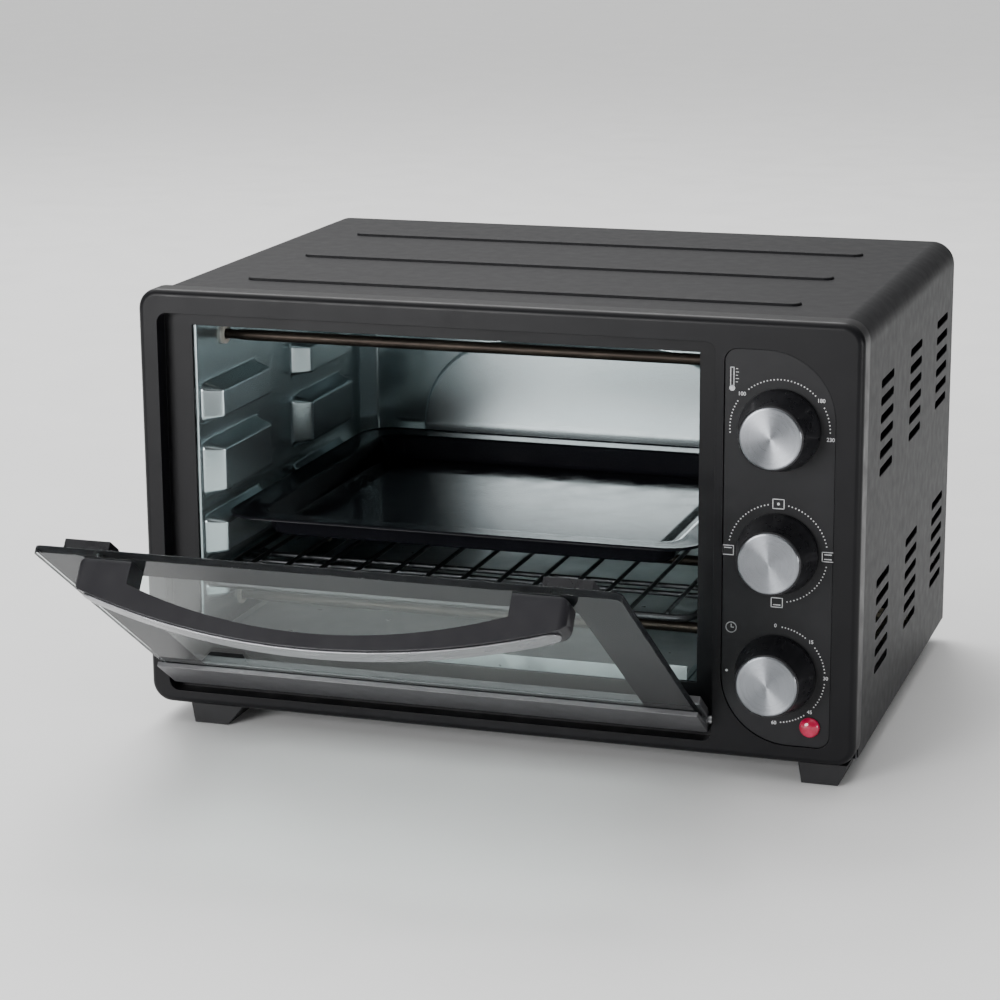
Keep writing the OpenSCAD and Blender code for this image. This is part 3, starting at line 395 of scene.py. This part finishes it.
stem_x, stem_z, stem_half = knobs["temperature"].x - 26.4, knobs["temperature"].z + 26.5, 0.9
loop([(stem_x - stem_half, stem_z - 4.0), (stem_x + stem_half, stem_z - 4.0),
      (stem_x + stem_half, stem_z + 6.3), (stem_x - stem_half, stem_z + 6.3)], 0.4)
dot(stem_x, stem_z - 5, 1.6, 20)
for i in range(5):
    tick_z = stem_z - 1.6 + 1.8 * i
    line(stem_x + 2.1, tick_z, stem_x + (3.4 if i % 2 else 2.9), tick_z, 0.34)

mesh = bpy.data.meshes.new("panel_print")
bmesh.ops.recalc_face_normals(prints, faces=prints.faces)
prints.to_mesh(mesh)
prints.free()
panel_print = bpy.data.objects.new("panel_print", mesh)
bpy.context.scene.collection.objects.link(panel_print)
white_ink = finish("white_ink", (0.62, 0.62, 0.63), 0.5)
mottle(white_ink, 1.2, (0.5, 0.5, 0.52), (0.7, 0.7, 0.71))
panel_print.data.materials.append(white_ink)
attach(panel_print, "oven")

# ---- Outer cover ----
# One sheet of steel bent over the top and both sides, painted in a fine-grained black. Three
# stiffening ribs are pressed up in its top, and its right side is pierced with cooling slots.
cover_paint = finish("cover_paint", (0.009, 0.009, 0.0105), 0.46, gloss=0.12)
mottle(cover_paint, 2.5, (0.0075, 0.0075, 0.009), (0.0105, 0.0105, 0.012))
drive(cover_paint, "Roughness", cloud(cover_paint, 8, 0.44, 0.5, 2))
relief(cover_paint, cloud(cover_paint, 0.8, 0, 1, 1), 0.02, 0.3)
rib_top = span("outer_cover")[1].z


def rib_edge(point):
    """True on the top edge of a rib."""
    return point.z > rib_top - 0.1


stand_for(eased("cover_sheet", "outer_cover", 0.22, [(1.1, rib_edge)]), cover_paint,
          "outer_cover")

# ---- Back panel, base and feet ----
# The back is a flat painted sheet, screwed on, and fins pressed inwards over its slots keep
# drips out. The base is a folded sheet, and four moulded feet are screwed under it.
stand_for(eased("back_sheet", "back_panel", 0.15), cover_paint, "back_panel")
fin_x = sum(corner.x for corner in span("cord_gland")) / 2 - 8
fin_y = span("back_panel")[0].y - 0.02
fin_half, fin_deep = 20.5, 5.4
slot_count, slot_pitch, first_slot, slot_half = 5, 10, 60, 2.7
fin_profile = [(0, 2.2), (-0.6, 2.2), (-0.6, 0.5), (-fin_deep, 0.1 - fin_deep),
               (-fin_deep + 0.4, -0.4 - fin_deep), (0, 0)]
corners, faces = [], []
for row in range(slot_count):
    fin_z = frame_high.z - first_slot - row * slot_pitch + slot_half
    start, count = len(corners), len(fin_profile)
    corners += [Vector((fin_x + end * fin_half, fin_y + inwards, fin_z + up)) * mm
                for end in (-1, 1) for inwards, up in fin_profile]
    faces += [tuple(range(start, start + count)), tuple(range(start + count, start + 2 * count))]
    faces += [(start + i, start + (i + 1) % count, start + count + (i + 1) % count,
               start + count + i) for i in range(count)]
fins = solid("back_fins", corners, faces)
fins.data.materials.append(cover_paint)
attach(fins, frame["nodes"]["back_panel"]["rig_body"])

base_steel = finish("base_steel", (0.13, 0.13, 0.14), 0.4, 0.85)
mottle(base_steel, 9, (0.10, 0.10, 0.11), (0.17, 0.17, 0.18), 5)
drive(base_steel, "Roughness", cloud(base_steel, 18, 0.3, 0.5, 4, (1, 6, 1)))
relief(base_steel, cloud(base_steel, 0.6, 0, 1, 2, (1, 8, 1)), 0.02, 0.4)
stand_for(eased("base_sheet", "bottom_plate", 0.15), base_steel, "bottom_plate")

foot_rubber = finish("foot_rubber", (0.009, 0.009, 0.010), 0.55, gloss=0.3)
drive(foot_rubber, "Roughness", cloud(foot_rubber, 6, 0.45, 0.62, 4))
mottle(foot_rubber, 12, (0.007, 0.007, 0.008), (0.012, 0.012, 0.0135))
relief(foot_rubber, cloud(foot_rubber, 0.4, 0, 1, 2), 0.03, 0.5)
for place in ("front_left", "front_right", "rear_left", "rear_right"):
    stand_for(eased("stand_" + place, "foot_" + place, 0.9), foot_rubber, "foot_" + place)

zinc = finish("zinc", (0.6, 0.61, 0.63), 0.32, 1.0)
drive(zinc, "Roughness", cloud(zinc, 1.5, 0.24, 0.42, 4))
mottle(zinc, 3, (0.5, 0.51, 0.53), (0.68, 0.68, 0.69), 4)
relief(zinc, cloud(zinc, 0.25, 0, 1, 2), 0.01, 0.4)


def surfaced(made, *nodes):
    """Keeps CAD solids as they are and gives them a finish."""
    for node in nodes:
        piece = frame["nodes"][node]
        piece.data.materials.clear()
        piece.data.materials.append(made)


surfaced(zinc, "foot_screws")
stand_for(eased("back_fixings", "back_screws", 0.5), zinc, "back_screws")
stand_for(eased("gland_bush", "cord_gland", 0.5), foot_rubber, "cord_gland")

# ---- Cavity ----
# Folded galvanised sheet. Each side has a rolled front edge and two columns of pressed guides
# that carry the rack and the tray. The back is pressed with a wide round-cornered field.
galvanised = finish("galvanised", (0.57, 0.65, 0.67), 0.24, 0.88)
drive(galvanised, "Base Color", blend(galvanised, cloud(galvanised, 60, 0.3, 0.7, 1),
                                      (0.55, 0.63, 0.65), (0.60, 0.68, 0.70)))
drive(galvanised, "Roughness", cloud(galvanised, 70, 0.22, 0.26, 0))
relief(galvanised, cloud(galvanised, 0.6, 0, 1, 1), 0.004, 0.2)


def rise(value, start, end):
    """Goes smoothly from 0 at start to 1 at end."""
    share = min(1.0, max(0.0, (value - start) / (end - start)))
    return share * share * (3 - 2 * share)


def swell(value, start, end, slope):
    """1 between start and end, falling smoothly to 0 at both within the slope."""
    return rise(value, start, start + slope) * (1 - rise(value, end - slope, end))


def stations(low, high, coarse, places, reach, fine):
    """Distances from low to high at a coarse step, and at a fine one near the places."""
    found = [low + (high - low) * i / round((high - low) / coarse)
             for i in range(round((high - low) / coarse) + 1)]
    for place in places:
        found = [v for v in found if abs(v - place) > reach or v in (low, high)]
        found += [place - reach + fine * i for i in range(int(2 * reach / fine) + 1)
                  if low < place - reach + fine * i < high]
    found = sorted(found)
    return [v for i, v in enumerate(found) if i == 0 or v - found[i - 1] > 0.15]


def sheet(name, rows, thick):
    """A closed sheet through rows of points in millimetres, thickened by a vector."""
    count, wide = len(rows), len(rows[0])
    corners = [Vector(p) * mm for row in rows for p in row]
    corners += [(Vector(p) + Vector(thick)) * mm for row in rows for p in row]
    back = count * wide
    faces = []
    for i in range(count - 1):
        for k in range(wide - 1):
            a = i * wide + k
            faces.append((a, a + 1, a + wide + 1, a + wide))
            faces.append((back + a + wide, back + a + wide + 1, back + a + 1, back + a))
    for i in range(count - 1):
        for a in (i * wide, i * wide + wide - 1):
            faces.append((a, a + wide, back + a + wide, back + a))
    for k in range(wide - 1):
        for a in (k, (count - 1) * wide + k):
            faces.append((a, a + 1, back + a + 1, back + a))
    return rounded(solid(name, corners, faces), 50)


wall_low, wall_high = span("cavity_left_wall")
sheet_t = 0.6
guide_d, guide_slope, guide_edge = 12.0, 9, 5
cavity_x = (wall_high.x - guide_d, span("cavity_right_wall")[0].x + guide_d)
cavity_y = (wall_low.y, wall_high.y)
cavity_z = (wall_low.z, wall_high.z)
guide_rows = [(21.5, 33.5), (45.5, 70.5), (82.5, 114.5), (126.5, 149.5)]
guide_rows = [(cavity_z[0] + a, cavity_z[0] + b) for a, b in guide_rows]
guide_columns = [(cavity_y[0] + 9.5, cavity_y[0] + 95.5), (cavity_y[1] - 130, cavity_y[1] - 44)]
bead, bead_wide, bead_step = 2.8, 4.5, 0.45


def guide_height(y, z, columns):
    """How far the side wall stands in at a point: its guides and its rolled front edge."""
    column = max(swell(y, a, b, guide_slope) for a, b in columns)
    row = max(swell(z, a - 1, b + 1, guide_edge) for a, b in guide_rows)
    front = bead * math.sin(math.pi * min(max((y - cavity_y[0]) / bead_wide, 0), 1)) ** 0.7
    return guide_d * column * row + front


zs = stations(*cavity_z, 5, [v for r in guide_rows for v in r], 6, 0.6)
for name, x, way_in, late, node in (("cavity_side_left", cavity_x[0], 1, 0, "cavity_left_wall"),
                                    ("cavity_side_right", cavity_x[1], -1, 36,
                                     "cavity_right_wall")):
    columns = [(guide_columns[0][0] + late, guide_columns[0][1]), guide_columns[1]]
    ys = stations(*cavity_y, 5, [v for c in columns for v in c], 10, 0.8)
    ys = [y for y in ys if y > cavity_y[0] + bead_wide + 0.2]
    ys = [cavity_y[0] + bead_step * i for i in range(11)] + ys
    rows = [[(x + way_in * guide_height(y, z, columns), y, z) for z in zs] for y in ys]
    stand_for(sheet(name, rows, (-way_in * sheet_t, 0, 0)), galvanised, node)

field_mid = (cavity_x[0] + cavity_x[1]) / 2
field_w, field_h, field_r, field_t = 217.0, 130.0, 57.0, 4.0
field_z = cavity_z[0] + 2
back_y = cavity_y[1]


def round_outline(x0, x1, z0, z1, r, steps=8):
    """A rounded rectangle as a list of points, starting at its lower right corner."""
    points = []
    for cx, cz, start in ((x1 - r, z0 + r, -90), (x1 - r, z1 - r, 0), (x0 + r, z1 - r, 90),
                          (x0 + r, z0 + r, 180)):
        for i in range(steps + 1):
            a = math.radians(start + 90 * i / steps)
            points.append((cx + r * math.cos(a), cz + r * math.sin(a)))
    return points


def loft(name, rings, joined=False):
    """A skin through closed outlines with the same number of points, in millimetres. Its ends
    are closed, or where it is joined, its last outline is followed by its first."""
    count = len(rings[0])
    faces = []
    for i in range(len(rings) if joined else len(rings) - 1):
        j = (i + 1) % len(rings)
        faces += [(i * count + k, i * count + (k + 1) % count, j * count + (k + 1) % count,
                   j * count + k) for k in range(count)]
    if not joined:
        faces += [tuple(range(count)), tuple(range((len(rings) - 1) * count, len(rings) * count))]
    return solid(name, [Vector(p) * mm for ring in rings for p in ring], faces)


def field_ring(inset, y):
    """An outline round the back wall's pressed field, or round the wall itself without an inset."""
    steps = 16
    if inset is None:
        return [(x, y, z) for x, z in round_outline(*cavity_x, *cavity_z, 0.3, steps)]
    return [(x, y, z) for x, z in round_outline(
        field_mid - field_w / 2 + inset, field_mid + field_w / 2 - inset,
        field_z + inset, field_z + field_h - inset, field_r - inset, steps)]


raised_y = back_y - field_t
wall_rings = [(2.2, raised_y + sheet_t), (1.6, raised_y + sheet_t), (0.8, back_y - 1.4),
              (0.1, back_y + sheet_t), (None, back_y + sheet_t), (None, back_y), (0, back_y),
              (0.7, back_y - 0.5), (1.5, raised_y + 0.9), (2.0, raised_y + 0.25), (2.7, raised_y)]
stand_for(rounded(loft("cavity_rear", [field_ring(*ring) for ring in wall_rings]), 60),
          galvanised, "cavity_back")

bend = [(0, -12), (0, -10.6), (0.25, -9.7), (0.9, -8.9), (8.9, -0.9), (9.7, -0.25), (10.6, 0),
        (12, 0)]
bend_off, bend_t = 0.05, 0.035
bend_zs = (cavity_z[0] + 1, cavity_z[0] + 66, cavity_z[0] + 130, cavity_z[1] - 1)
for name, x, way_in in (("cavity_bend_left", cavity_x[0], 1),
                        ("cavity_bend_right", cavity_x[1], -1)):
    rows = [[(x + way_in * (bend_off + a), back_y - bend_off + b, z) for z in bend_zs]
            for a, b in bend]
    strip = sheet(name, rows, (-way_in * bend_t, bend_t, 0))
    strip.data.materials.append(galvanised)
    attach(strip, "oven")
for name, node in (("cavity_roof", "cavity_top"), ("cavity_base", "cavity_floor"),
                   ("shield_sheet", "heat_shield")):
    stand_for(eased(name, node, 0.15), galvanised, node)

# ---- Heating elements ----
# Four steel tubes packed with wire and ceramic powder, browned by use. Their ends are swaged
# down and held in white ceramic bushes in the cavity's sides.
browned = finish("browned_steel", (0.028, 0.022, 0.018), 0.4, 0.85, gloss=0.3)
mottle(browned, 28, (0.020, 0.0155, 0.013), (0.037, 0.029, 0.0235), 5, (1, 3, 3))
drive(browned, "Roughness", cloud(browned, 3, 0.32, 0.5, 4, (0.4, 2, 2)))
relief(browned, cloud(browned, 0.7, 0, 1, 3), 0.04, 0.5)


def turned(name, profile, centre, axis, sides=64):
    """A turned piece: profile lists (distance along the axis, radius) from end to end."""
    axis = Vector(axis).normalized()
    side = axis.cross(Vector((0.0, 0.3, 1.0))).normalized()
    other = axis.cross(side)
    rings = [[Vector(centre) + axis * along + (side * math.cos(2 * math.pi * k / sides)
              + other * math.sin(2 * math.pi * k / sides)) * max(radius, 0.01)
              for k in range(sides)] for along, radius in profile]
    return rounded(loft(name, rings), 40)


swaged = 19
for place in ("upper_front", "upper_rear", "lower_front", "lower_rear"):
    low, high = span(place + "_heater")
    r, length = (high.z - low.z) / 2, high.x - low.x
    profile = [(0, 0), (0, 1.2), (0.3, 1.5), (5, 1.5), (5.3, r - 0.7), (6, r - 0.5),
               (swaged, r - 0.5), (swaged + 3, r - 0.05), (swaged + 6, r)]
    profile += [(length - a, b) for a, b in reversed(profile)]
    stand_for(turned(place + "_element", profile, (low.x, (low.y + high.y) / 2,
              (low.z + high.z) / 2), (1, 0, 0), 32), browned, place + "_heater")

ceramic = finish("ceramic", (0.5, 0.47, 0.42), 0.6)
mottle(ceramic, 4, (0.42, 0.39, 0.34), (0.56, 0.53, 0.48), 4)
relief(ceramic, cloud(ceramic, 0.5, 0, 1, 3), 0.05, 0.5)
stand_for(eased("element_bushes", "heater_insulators", 0.5), ceramic, "heater_insulators")

# ---- Controls ----
# Behind the panel stand a thermostat, a rotary switch and a clockwork timer, each clamped by a
# nut on its threaded bush. The first and last have steel cases. The switch, the lamp's holder
# and the terminal block are moulded in pale resin.
pale_resin = finish("pale_resin", (0.66, 0.60, 0.46), 0.5)
mottle(pale_resin, 7, (0.58, 0.52, 0.38), (0.72, 0.67, 0.54), 4)
drive(pale_resin, "Roughness", cloud(pale_resin, 3, 0.42, 0.58, 4))
relief(pale_resin, cloud(pale_resin, 0.6, 0, 1, 3), 0.04, 0.5)
for name, node, made in (("thermostat_body", "thermostat", base_steel),
                         ("timer_case", "timer", base_steel),
                         ("switch_body", "function_switch", pale_resin),
                         ("terminal_strip", "terminal_block", pale_resin)):
    stand_for(eased(name, node, 0.4), made, node)
surfaced(zinc, "shaft_nuts", "temperature_shaft", "function_shaft", "timer_shaft")
surfaced(pale_resin, "lamp_holder")

# ---- Signal lamp ----
# A domed lens in clear red plastic, moulded in one with a stem that is pressed through the
# panel. A small neon lamp in the resin holder lights it from behind.
lens_red = finish("lens_red", (0.42, 0.008, 0.05), 0.12, 0.0, 0.6)
mottle(lens_red, 5, (0.34, 0.006, 0.035), (0.5, 0.012, 0.07), 2)
relief(lens_red, cloud(lens_red, 1.4, 0, 1, 1), 0.05, 0.4)
lens_low, lens_high = span("lamp_lens")
lens_r = (lens_high.x - lens_low.x) / 2
lens_mid = ((lens_low.x + lens_high.x) / 2, panel_y, (lens_low.z + lens_high.z) / 2)
lens_dome = panel_y - lens_low.y
lens_stem, lens_edge = lens_r - 1.5, 0.5
profile = [(-6, 0), (-6, lens_stem - 0.4), (-5.6, lens_stem), (0, lens_stem), (0, lens_r - 0.3),
           (lens_edge, lens_r)]
profile += [(lens_edge + (lens_dome - lens_edge) * math.sin(math.radians(a)),
             lens_r * math.cos(math.radians(a))) for a in range(8, 91, 8)]
profile += [(lens_dome, 0)]
stand_for(turned("lamp_dome", profile, lens_mid, (0, -1, 0), 48), lens_red, "lamp_lens")

# ---- Knobs ----
# Each knob is a hollow black moulding that tapers towards its front, pushed on the flat of its
# shaft, with a disc of spun aluminium let into its face.
knob_black = finish("knob_black", (0.009, 0.009, 0.0105), 0.3, gloss=0.35)
drive(knob_black, "Roughness", cloud(knob_black, 5, 0.24, 0.38, 4))
mottle(knob_black, 10, (0.007, 0.007, 0.0085), (0.0115, 0.0115, 0.0135))
relief(knob_black, cloud(knob_black, 0.4, 0, 1, 1), 0.005, 0.2)

knob_h, knob_r, knob_front, cap_r = 23.0, 22.4, 18.0, 16.8
bore_r, body_sides = 3.2, 72
body_profile = [(5.6, bore_r), (17.1, bore_r), (17.1, 15.6), (1.4, 20.6), (1.2, 21.0),
                (1.2, knob_r - 0.4), (1.5, knob_r), (2.6, knob_r), (4.4, knob_r - 0.5),
                (8, knob_r - 1.6), (14, knob_r - 3.0), (19.5, knob_front + 0.35),
                (21.6, knob_front), (22.6, knob_front - 0.25), (knob_h, knob_front - 0.8),
                (knob_h, cap_r + 0.1), (22.0, cap_r + 0.05), (22.0, bore_r)]
cap_profile = [(21.6, 0), (21.6, cap_r), (22.9, cap_r), (23.25, cap_r - 0.35), (23.4, cap_r - 0.9),
               (23.32, cap_r - 1.1), (23.32, 0)]

for name, centre in knobs.items():
    spun = finish(name + "_spun_aluminium", (0.26, 0.27, 0.29), 0.28, 1.0)
    spun.node_tree.nodes["Principled BSDF"].inputs["Anisotropic"].default_value = 0.93
    at = add(spun, "TexCoord").outputs["Object"]
    at = add(spun, "Mapping", {"Vector": at, "Location": -centre * mm}).outputs[0]
    part = add(spun, "SeparateXYZ", {0: at})
    out = add(spun, "CombineXYZ", {"X": part.outputs["X"], "Z": part.outputs["Z"]}).outputs[0]
    far = add(spun, "VectorMath", {0: out}, operation="LENGTH").outputs["Value"]
    rings = add(spun, "CombineXYZ", {"X": far}).outputs[0]
    lathe = add(spun, "TexNoise", {"Vector": rings, "Scale": 4200.0, "Detail": 4.0}).outputs[0]
    polish = add(spun, "MapRange", {"Value": lathe, "To Min": 0.2, "To Max": 0.38})
    drive(spun, "Roughness", polish.outputs[0])
    drive(spun, "Base Color", blend(spun, lathe, (0.21, 0.22, 0.24), (0.31, 0.32, 0.34)))
    relief(spun, lathe, 0.01, 0.6)
    drive(spun, "Tangent", add(spun, "VectorMath", {0: out}, operation="NORMALIZE").outputs[0])
    front = (centre.x, panel_y, centre.z)
    turns = [2 * math.pi * k / body_sides for k in range(body_sides)]
    body = loft(name + "_grip", [[
        Vector(front) + Vector((r * math.cos(turn), -a, r * math.sin(turn))) for turn in turns]
        for a, r in body_profile], joined=True)
    stand_for(rounded(body, 30), knob_black, name + "_knob")
    stand_for(turned(name + "_disc", cap_profile, front, (0, -1, 0), 96), spun, name + "_knob_cap")

# ---- Door ----
# A pane of tempered glass with a dark border printed on its inner face, gripped at its foot by
# a moulded rail that turns on two steel pins in the frame.
hinge_joint = next(j for j in frame["joints"] if j["name"] == "door_hinge")
hinge = Vector(hinge_joint["pos_m"]) / mm
open_turn = math.radians(-hinge_joint["range_deg"][0])


def on_door(x, out, up):
    """A point on the door as it stands: out from the inner face of the glass, up from the pins."""
    return Vector((x, hinge.y - up * math.sin(open_turn) - out * math.cos(open_turn),
                   hinge.z + up * math.cos(open_turn) - out * math.sin(open_turn)))


pane_glass = finish("tempered_glass", (0.89, 0.95, 0.94), 0.0)
pane_node = pane_glass.node_tree.nodes["Principled BSDF"]
pane_node.inputs["Transmission Weight"].default_value = 1.0
pane_node.inputs["IOR"].default_value = 1.2
relief(pane_glass, cloud(pane_glass, 90, 0, 1, 1), 0.02, 0.1)
passing = add(pane_glass, "BsdfTransparent", {"Color": (0.82, 0.90, 0.88, 1)})
passes = add(pane_glass, "MixShader", {0: add(pane_glass, "LightPath").outputs["Is Shadow Ray"],
                                       1: pane_node.outputs[0], 2: passing.outputs[0]})
pane_glass.node_tree.links.new(passes.outputs[0],
                               pane_glass.node_tree.nodes["Material Output"].inputs[0])
stand_for(eased("glass_pane", "door_glass", 0.5), pane_glass, "door_glass")

door_low, door_high = span("door_glass")
border_ink = finish("border_ink", (0.013, 0.013, 0.015), 0.45, gloss=0.05)
mottle(border_ink, 30, (0.011, 0.011, 0.013), (0.015, 0.015, 0.017))
drive(border_ink, "Roughness", cloud(border_ink, 6, 0.34, 0.48))
pane_x0, pane_x1 = door_low.x + 1, door_high.x - 1
outer = round_outline(pane_x0, pane_x1, 6, 211, 4)
inner = round_outline(pane_x0 + 25, pane_x1 - 28, 24, 182, 4)
print_front, print_back = 0.25, -0.06
border = loft("glass_border", [
    [on_door(x, out, up) for x, up in edge] for edge, out in
    ((outer, print_front), (inner, print_front), (inner, print_back), (outer, print_back))],
    joined=True)
border.data.materials.append(border_ink)
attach(border, "door")

rail_grey = finish("rail_grey", (0.075, 0.075, 0.08), 0.36, gloss=0.5)
mottle(rail_grey, 30, (0.069, 0.069, 0.073), (0.081, 0.081, 0.086))
drive(rail_grey, "Roughness", cloud(rail_grey, 10, 0.32, 0.42, 4))
relief(rail_grey, cloud(rail_grey, 0.4, 0, 1, 2), 0.015, 0.4)
stand_for(eased("door_foot_rail", "door_rail", 1.1), rail_grey, "door_rail")
surfaced(zinc, "hinge_pin_left", "hinge_pin_right")

# ---- Door handle ----
# A bowed bar moulded in charcoal plastic with a silver strip along its front. Two screws pass
# through blocks and the glass into its ends.
charcoal = finish("charcoal_plastic", (0.013, 0.0125, 0.015), 0.32, gloss=0.3)
mottle(charcoal, 25, (0.011, 0.0105, 0.013), (0.015, 0.0145, 0.0172))
drive(charcoal, "Roughness", cloud(charcoal, 9, 0.28, 0.40, 4))
relief(charcoal, cloud(charcoal, 0.35, 0, 1, 2), 0.014, 0.4)
grip_low, grip_high = span("door_handle")


def grip_end(point):
    """True on the outermost ends of the handle."""
    return point.x < grip_low.x + 0.1 or point.x > grip_high.x - 0.1


stand_for(eased("handle_grip", "door_handle", 1.5, [(5.0, grip_end)]), charcoal, "door_handle")

silver = finish("silver_strip", (0.31, 0.31, 0.325), 0.3, 0.9)
drive(silver, "Roughness", cloud(silver, 3, 0.24, 0.38, 4, (0.15, 1, 1)))
mottle(silver, 2, (0.235, 0.235, 0.248), (0.305, 0.305, 0.318), 4, (0.1, 1, 1))
relief(silver, cloud(silver, 0.3, 0, 1, 3, (0.05, 1, 1)), 0.01, 0.5)
stand_for(eased("handle_strip", "handle_trim", 0.4), silver, "handle_trim")
for side in ("left", "right"):
    stand_for(eased("clamp_block_" + side, "handle_block_" + side, 0.8), knob_black,
              "handle_block_" + side)
black_zinc = finish("black_zinc", (0.05, 0.05, 0.053), 0.36, 0.9)
drive(black_zinc, "Roughness", cloud(black_zinc, 1.5, 0.28, 0.45, 3))
mottle(black_zinc, 2, (0.035, 0.035, 0.037), (0.07, 0.07, 0.073))
surfaced(black_zinc, "handle_screws")

# ---- Wire rack ----
# Steel wire: a thick frame bent round at its corners, thirteen thin wires welded along it,
# and three cross wires beneath them. Plated, and darkened by heat.
wire_steel = finish("wire_steel", (0.05, 0.052, 0.055), 0.42, 0.9)
mottle(wire_steel, 14, (0.038, 0.039, 0.042), (0.065, 0.067, 0.071), 4)
drive(wire_steel, "Roughness", cloud(wire_steel, 4, 0.3, 0.48, 3))
relief(wire_steel, cloud(wire_steel, 0.5, 0, 1, 2), 0.02, 0.4)


def tube(path, radius, closed=False):
    """The outlines of a round wire along a path in millimetres, tapered where it ends."""
    path = [Vector(p) for p in path]
    rings, side, sides = [], None, 12
    for i, point in enumerate(path):
        before = path[i - 1] if i or closed else point
        after = path[(i + 1) % len(path)] if i < len(path) - 1 or closed else point
        along = (after - before).normalized()
        if side is None:
            side = along.cross(Vector((0.13, 0.21, 1.0))).normalized()
        side = (side - along * side.dot(along)).normalized()
        up = along.cross(side)
        rings.append([point + (side * math.cos(2 * math.pi * k / sides)
                               + up * math.sin(2 * math.pi * k / sides)) * radius
                      for k in range(sides)])
    if not closed:
        narrow, beyond = 0.6, radius * 0.4
        first, last = (path[1] - path[0]).normalized(), (path[-1] - path[-2]).normalized()
        tip = [path[0] + (p - path[0]) * narrow - first * beyond for p in rings[0]]
        end = [path[-1] + (p - path[-1]) * narrow + last * beyond for p in rings[-1]]
        rings = [tip, *rings, end]
    return rings


rack_low, rack_high = span("wire_rack")
wire_r, rod_r, cross_r = 2.0, 1.3, 1.6
rod_count, rod_inset = 13, 16.6
rack_z = rack_low.z + wire_r
rod_z = rack_z + wire_r + rod_r - 0.5
loop_x = (rack_low.x + wire_r, rack_high.x - wire_r)
loop_y = (rack_low.y + wire_r, rack_high.y - wire_r)
rim_path = [(x, y, rack_z) for x, y in round_outline(*loop_x, *loop_y, 9)]
wires = [(tube(rim_path, wire_r, True), True)]
for y in (loop_y[0] + 46, loop_y[0] + 62, loop_y[1] - 70):
    wires.append((tube([(loop_x[0] + 1, y, rack_z + 0.2), (loop_x[1] - 1, y, rack_z + 0.2)],
                       cross_r), False))
for i in range(rod_count):
    x = rack_low.x + rod_inset + i * (rack_high.x - rack_low.x - 2 * rod_inset) / (rod_count - 1)
    y0, y1 = loop_y[0] - 0.2, loop_y[1] + 0.2
    wires.append((tube([(x, y0, rod_z - 0.5), (x, y0 + 2.5, rod_z - 0.1), (x, y0 + 5, rod_z),
                        (x, y1 - 5, rod_z), (x, y1 - 2.5, rod_z - 0.1), (x, y1, rod_z - 0.5)],
                       rod_r), False))
corners, faces = [], []
for rings, closed in wires:
    start, sides = len(corners), len(rings[0])
    corners += [p * mm for ring in rings for p in ring]
    for i in range(len(rings) if closed else len(rings) - 1):
        a, b = start + i * sides, start + (i + 1) % len(rings) * sides
        faces += [(a + k, a + (k + 1) % sides, b + (k + 1) % sides, b + k) for k in range(sides)]
    if not closed:
        last = start + (len(rings) - 1) * sides
        faces += [tuple(range(start, start + sides)), tuple(range(last, last + sides))]
stand_for(rounded(solid("grill_rack", corners, faces), 45), wire_steel, "wire_rack")

# ---- Baking tray ----
# Pressed from thin steel sheet with a rolled rim and a shallow raised field in its floor, and
# fired with gloss black enamel.
enamel = finish("black_enamel", (0.007, 0.007, 0.009), 0.1, gloss=0.12)
enamel.node_tree.nodes["Principled BSDF"].inputs["IOR"].default_value = 1.3
mottle(enamel, 0.8, (0.0055, 0.0055, 0.0075), (0.009, 0.009, 0.0115), 2)
drive(enamel, "Roughness", cloud(enamel, 18, 0.06, 0.2, 4))
relief(enamel, cloud(enamel, 5, 0, 1, 2), 0.03, 0.2)
tray_low, tray_high = span("baking_tray")
rim_z = tray_high.z - 1.7
floor_z = tray_low.z
top_side = [(0.0, rim_z + 0.3), (0.15, rim_z + 1.1), (0.8, rim_z + 1.6), (1.6, rim_z + 1.65),
            (2.3, rim_z + 1.2), (3.0, rim_z + 0.85), (15.5, rim_z + 0.8), (17.6, rim_z + 0.5),
            (18.8, rim_z - 0.6), (22.4, floor_z + 3.2), (23.6, floor_z + 1.5),
            (26.0, floor_z + 0.85), (33.0, floor_z + 0.8), (34.0, floor_z + 1.0),
            (36.5, floor_z + 2.3), (38.5, floor_z + 2.5)]
under_side = [(38.5, floor_z + 1.7), (36.8, floor_z + 1.5), (34.4, floor_z + 0.2),
              (33.0, floor_z), (26.0, floor_z + 0.05), (23.2, floor_z + 0.6),
              (21.6, floor_z + 2.6), (18.0, rim_z - 1.0), (17.0, rim_z - 0.2), (15.5, rim_z),
              (3.0, rim_z + 0.05), (0.6, rim_z + 0.0)]
rings = []
for inset, z in under_side + top_side:
    corner_r = max(22 - inset * 0.5, 5)
    rings.append([(x, y, z) for x, y in round_outline(
        tray_low.x + inset, tray_high.x - inset, tray_low.y + inset, tray_high.y - inset,
        corner_r)])
stand_for(rounded(loft("oven_tray", rings), 50), enamel, "baking_tray")

# ---- Crumb tray ----
# A shallow folded tray of galvanised sheet, dulled by use. It lies on the cavity's floor, below
# the lower elements, and catches what falls from the rack.
dull_steel = finish("dull_steel", (0.42, 0.46, 0.475), 0.34, 0.7)
mottle(dull_steel, 30, (0.37, 0.41, 0.425), (0.47, 0.51, 0.525), 5)
drive(dull_steel, "Roughness", cloud(dull_steel, 12, 0.28, 0.48, 4))
relief(dull_steel, cloud(dull_steel, 0.8, 0, 1, 2), 0.01, 0.4)
stand_for(eased("crumb_pan", "crumb_tray", 0.15), dull_steel, "crumb_tray")
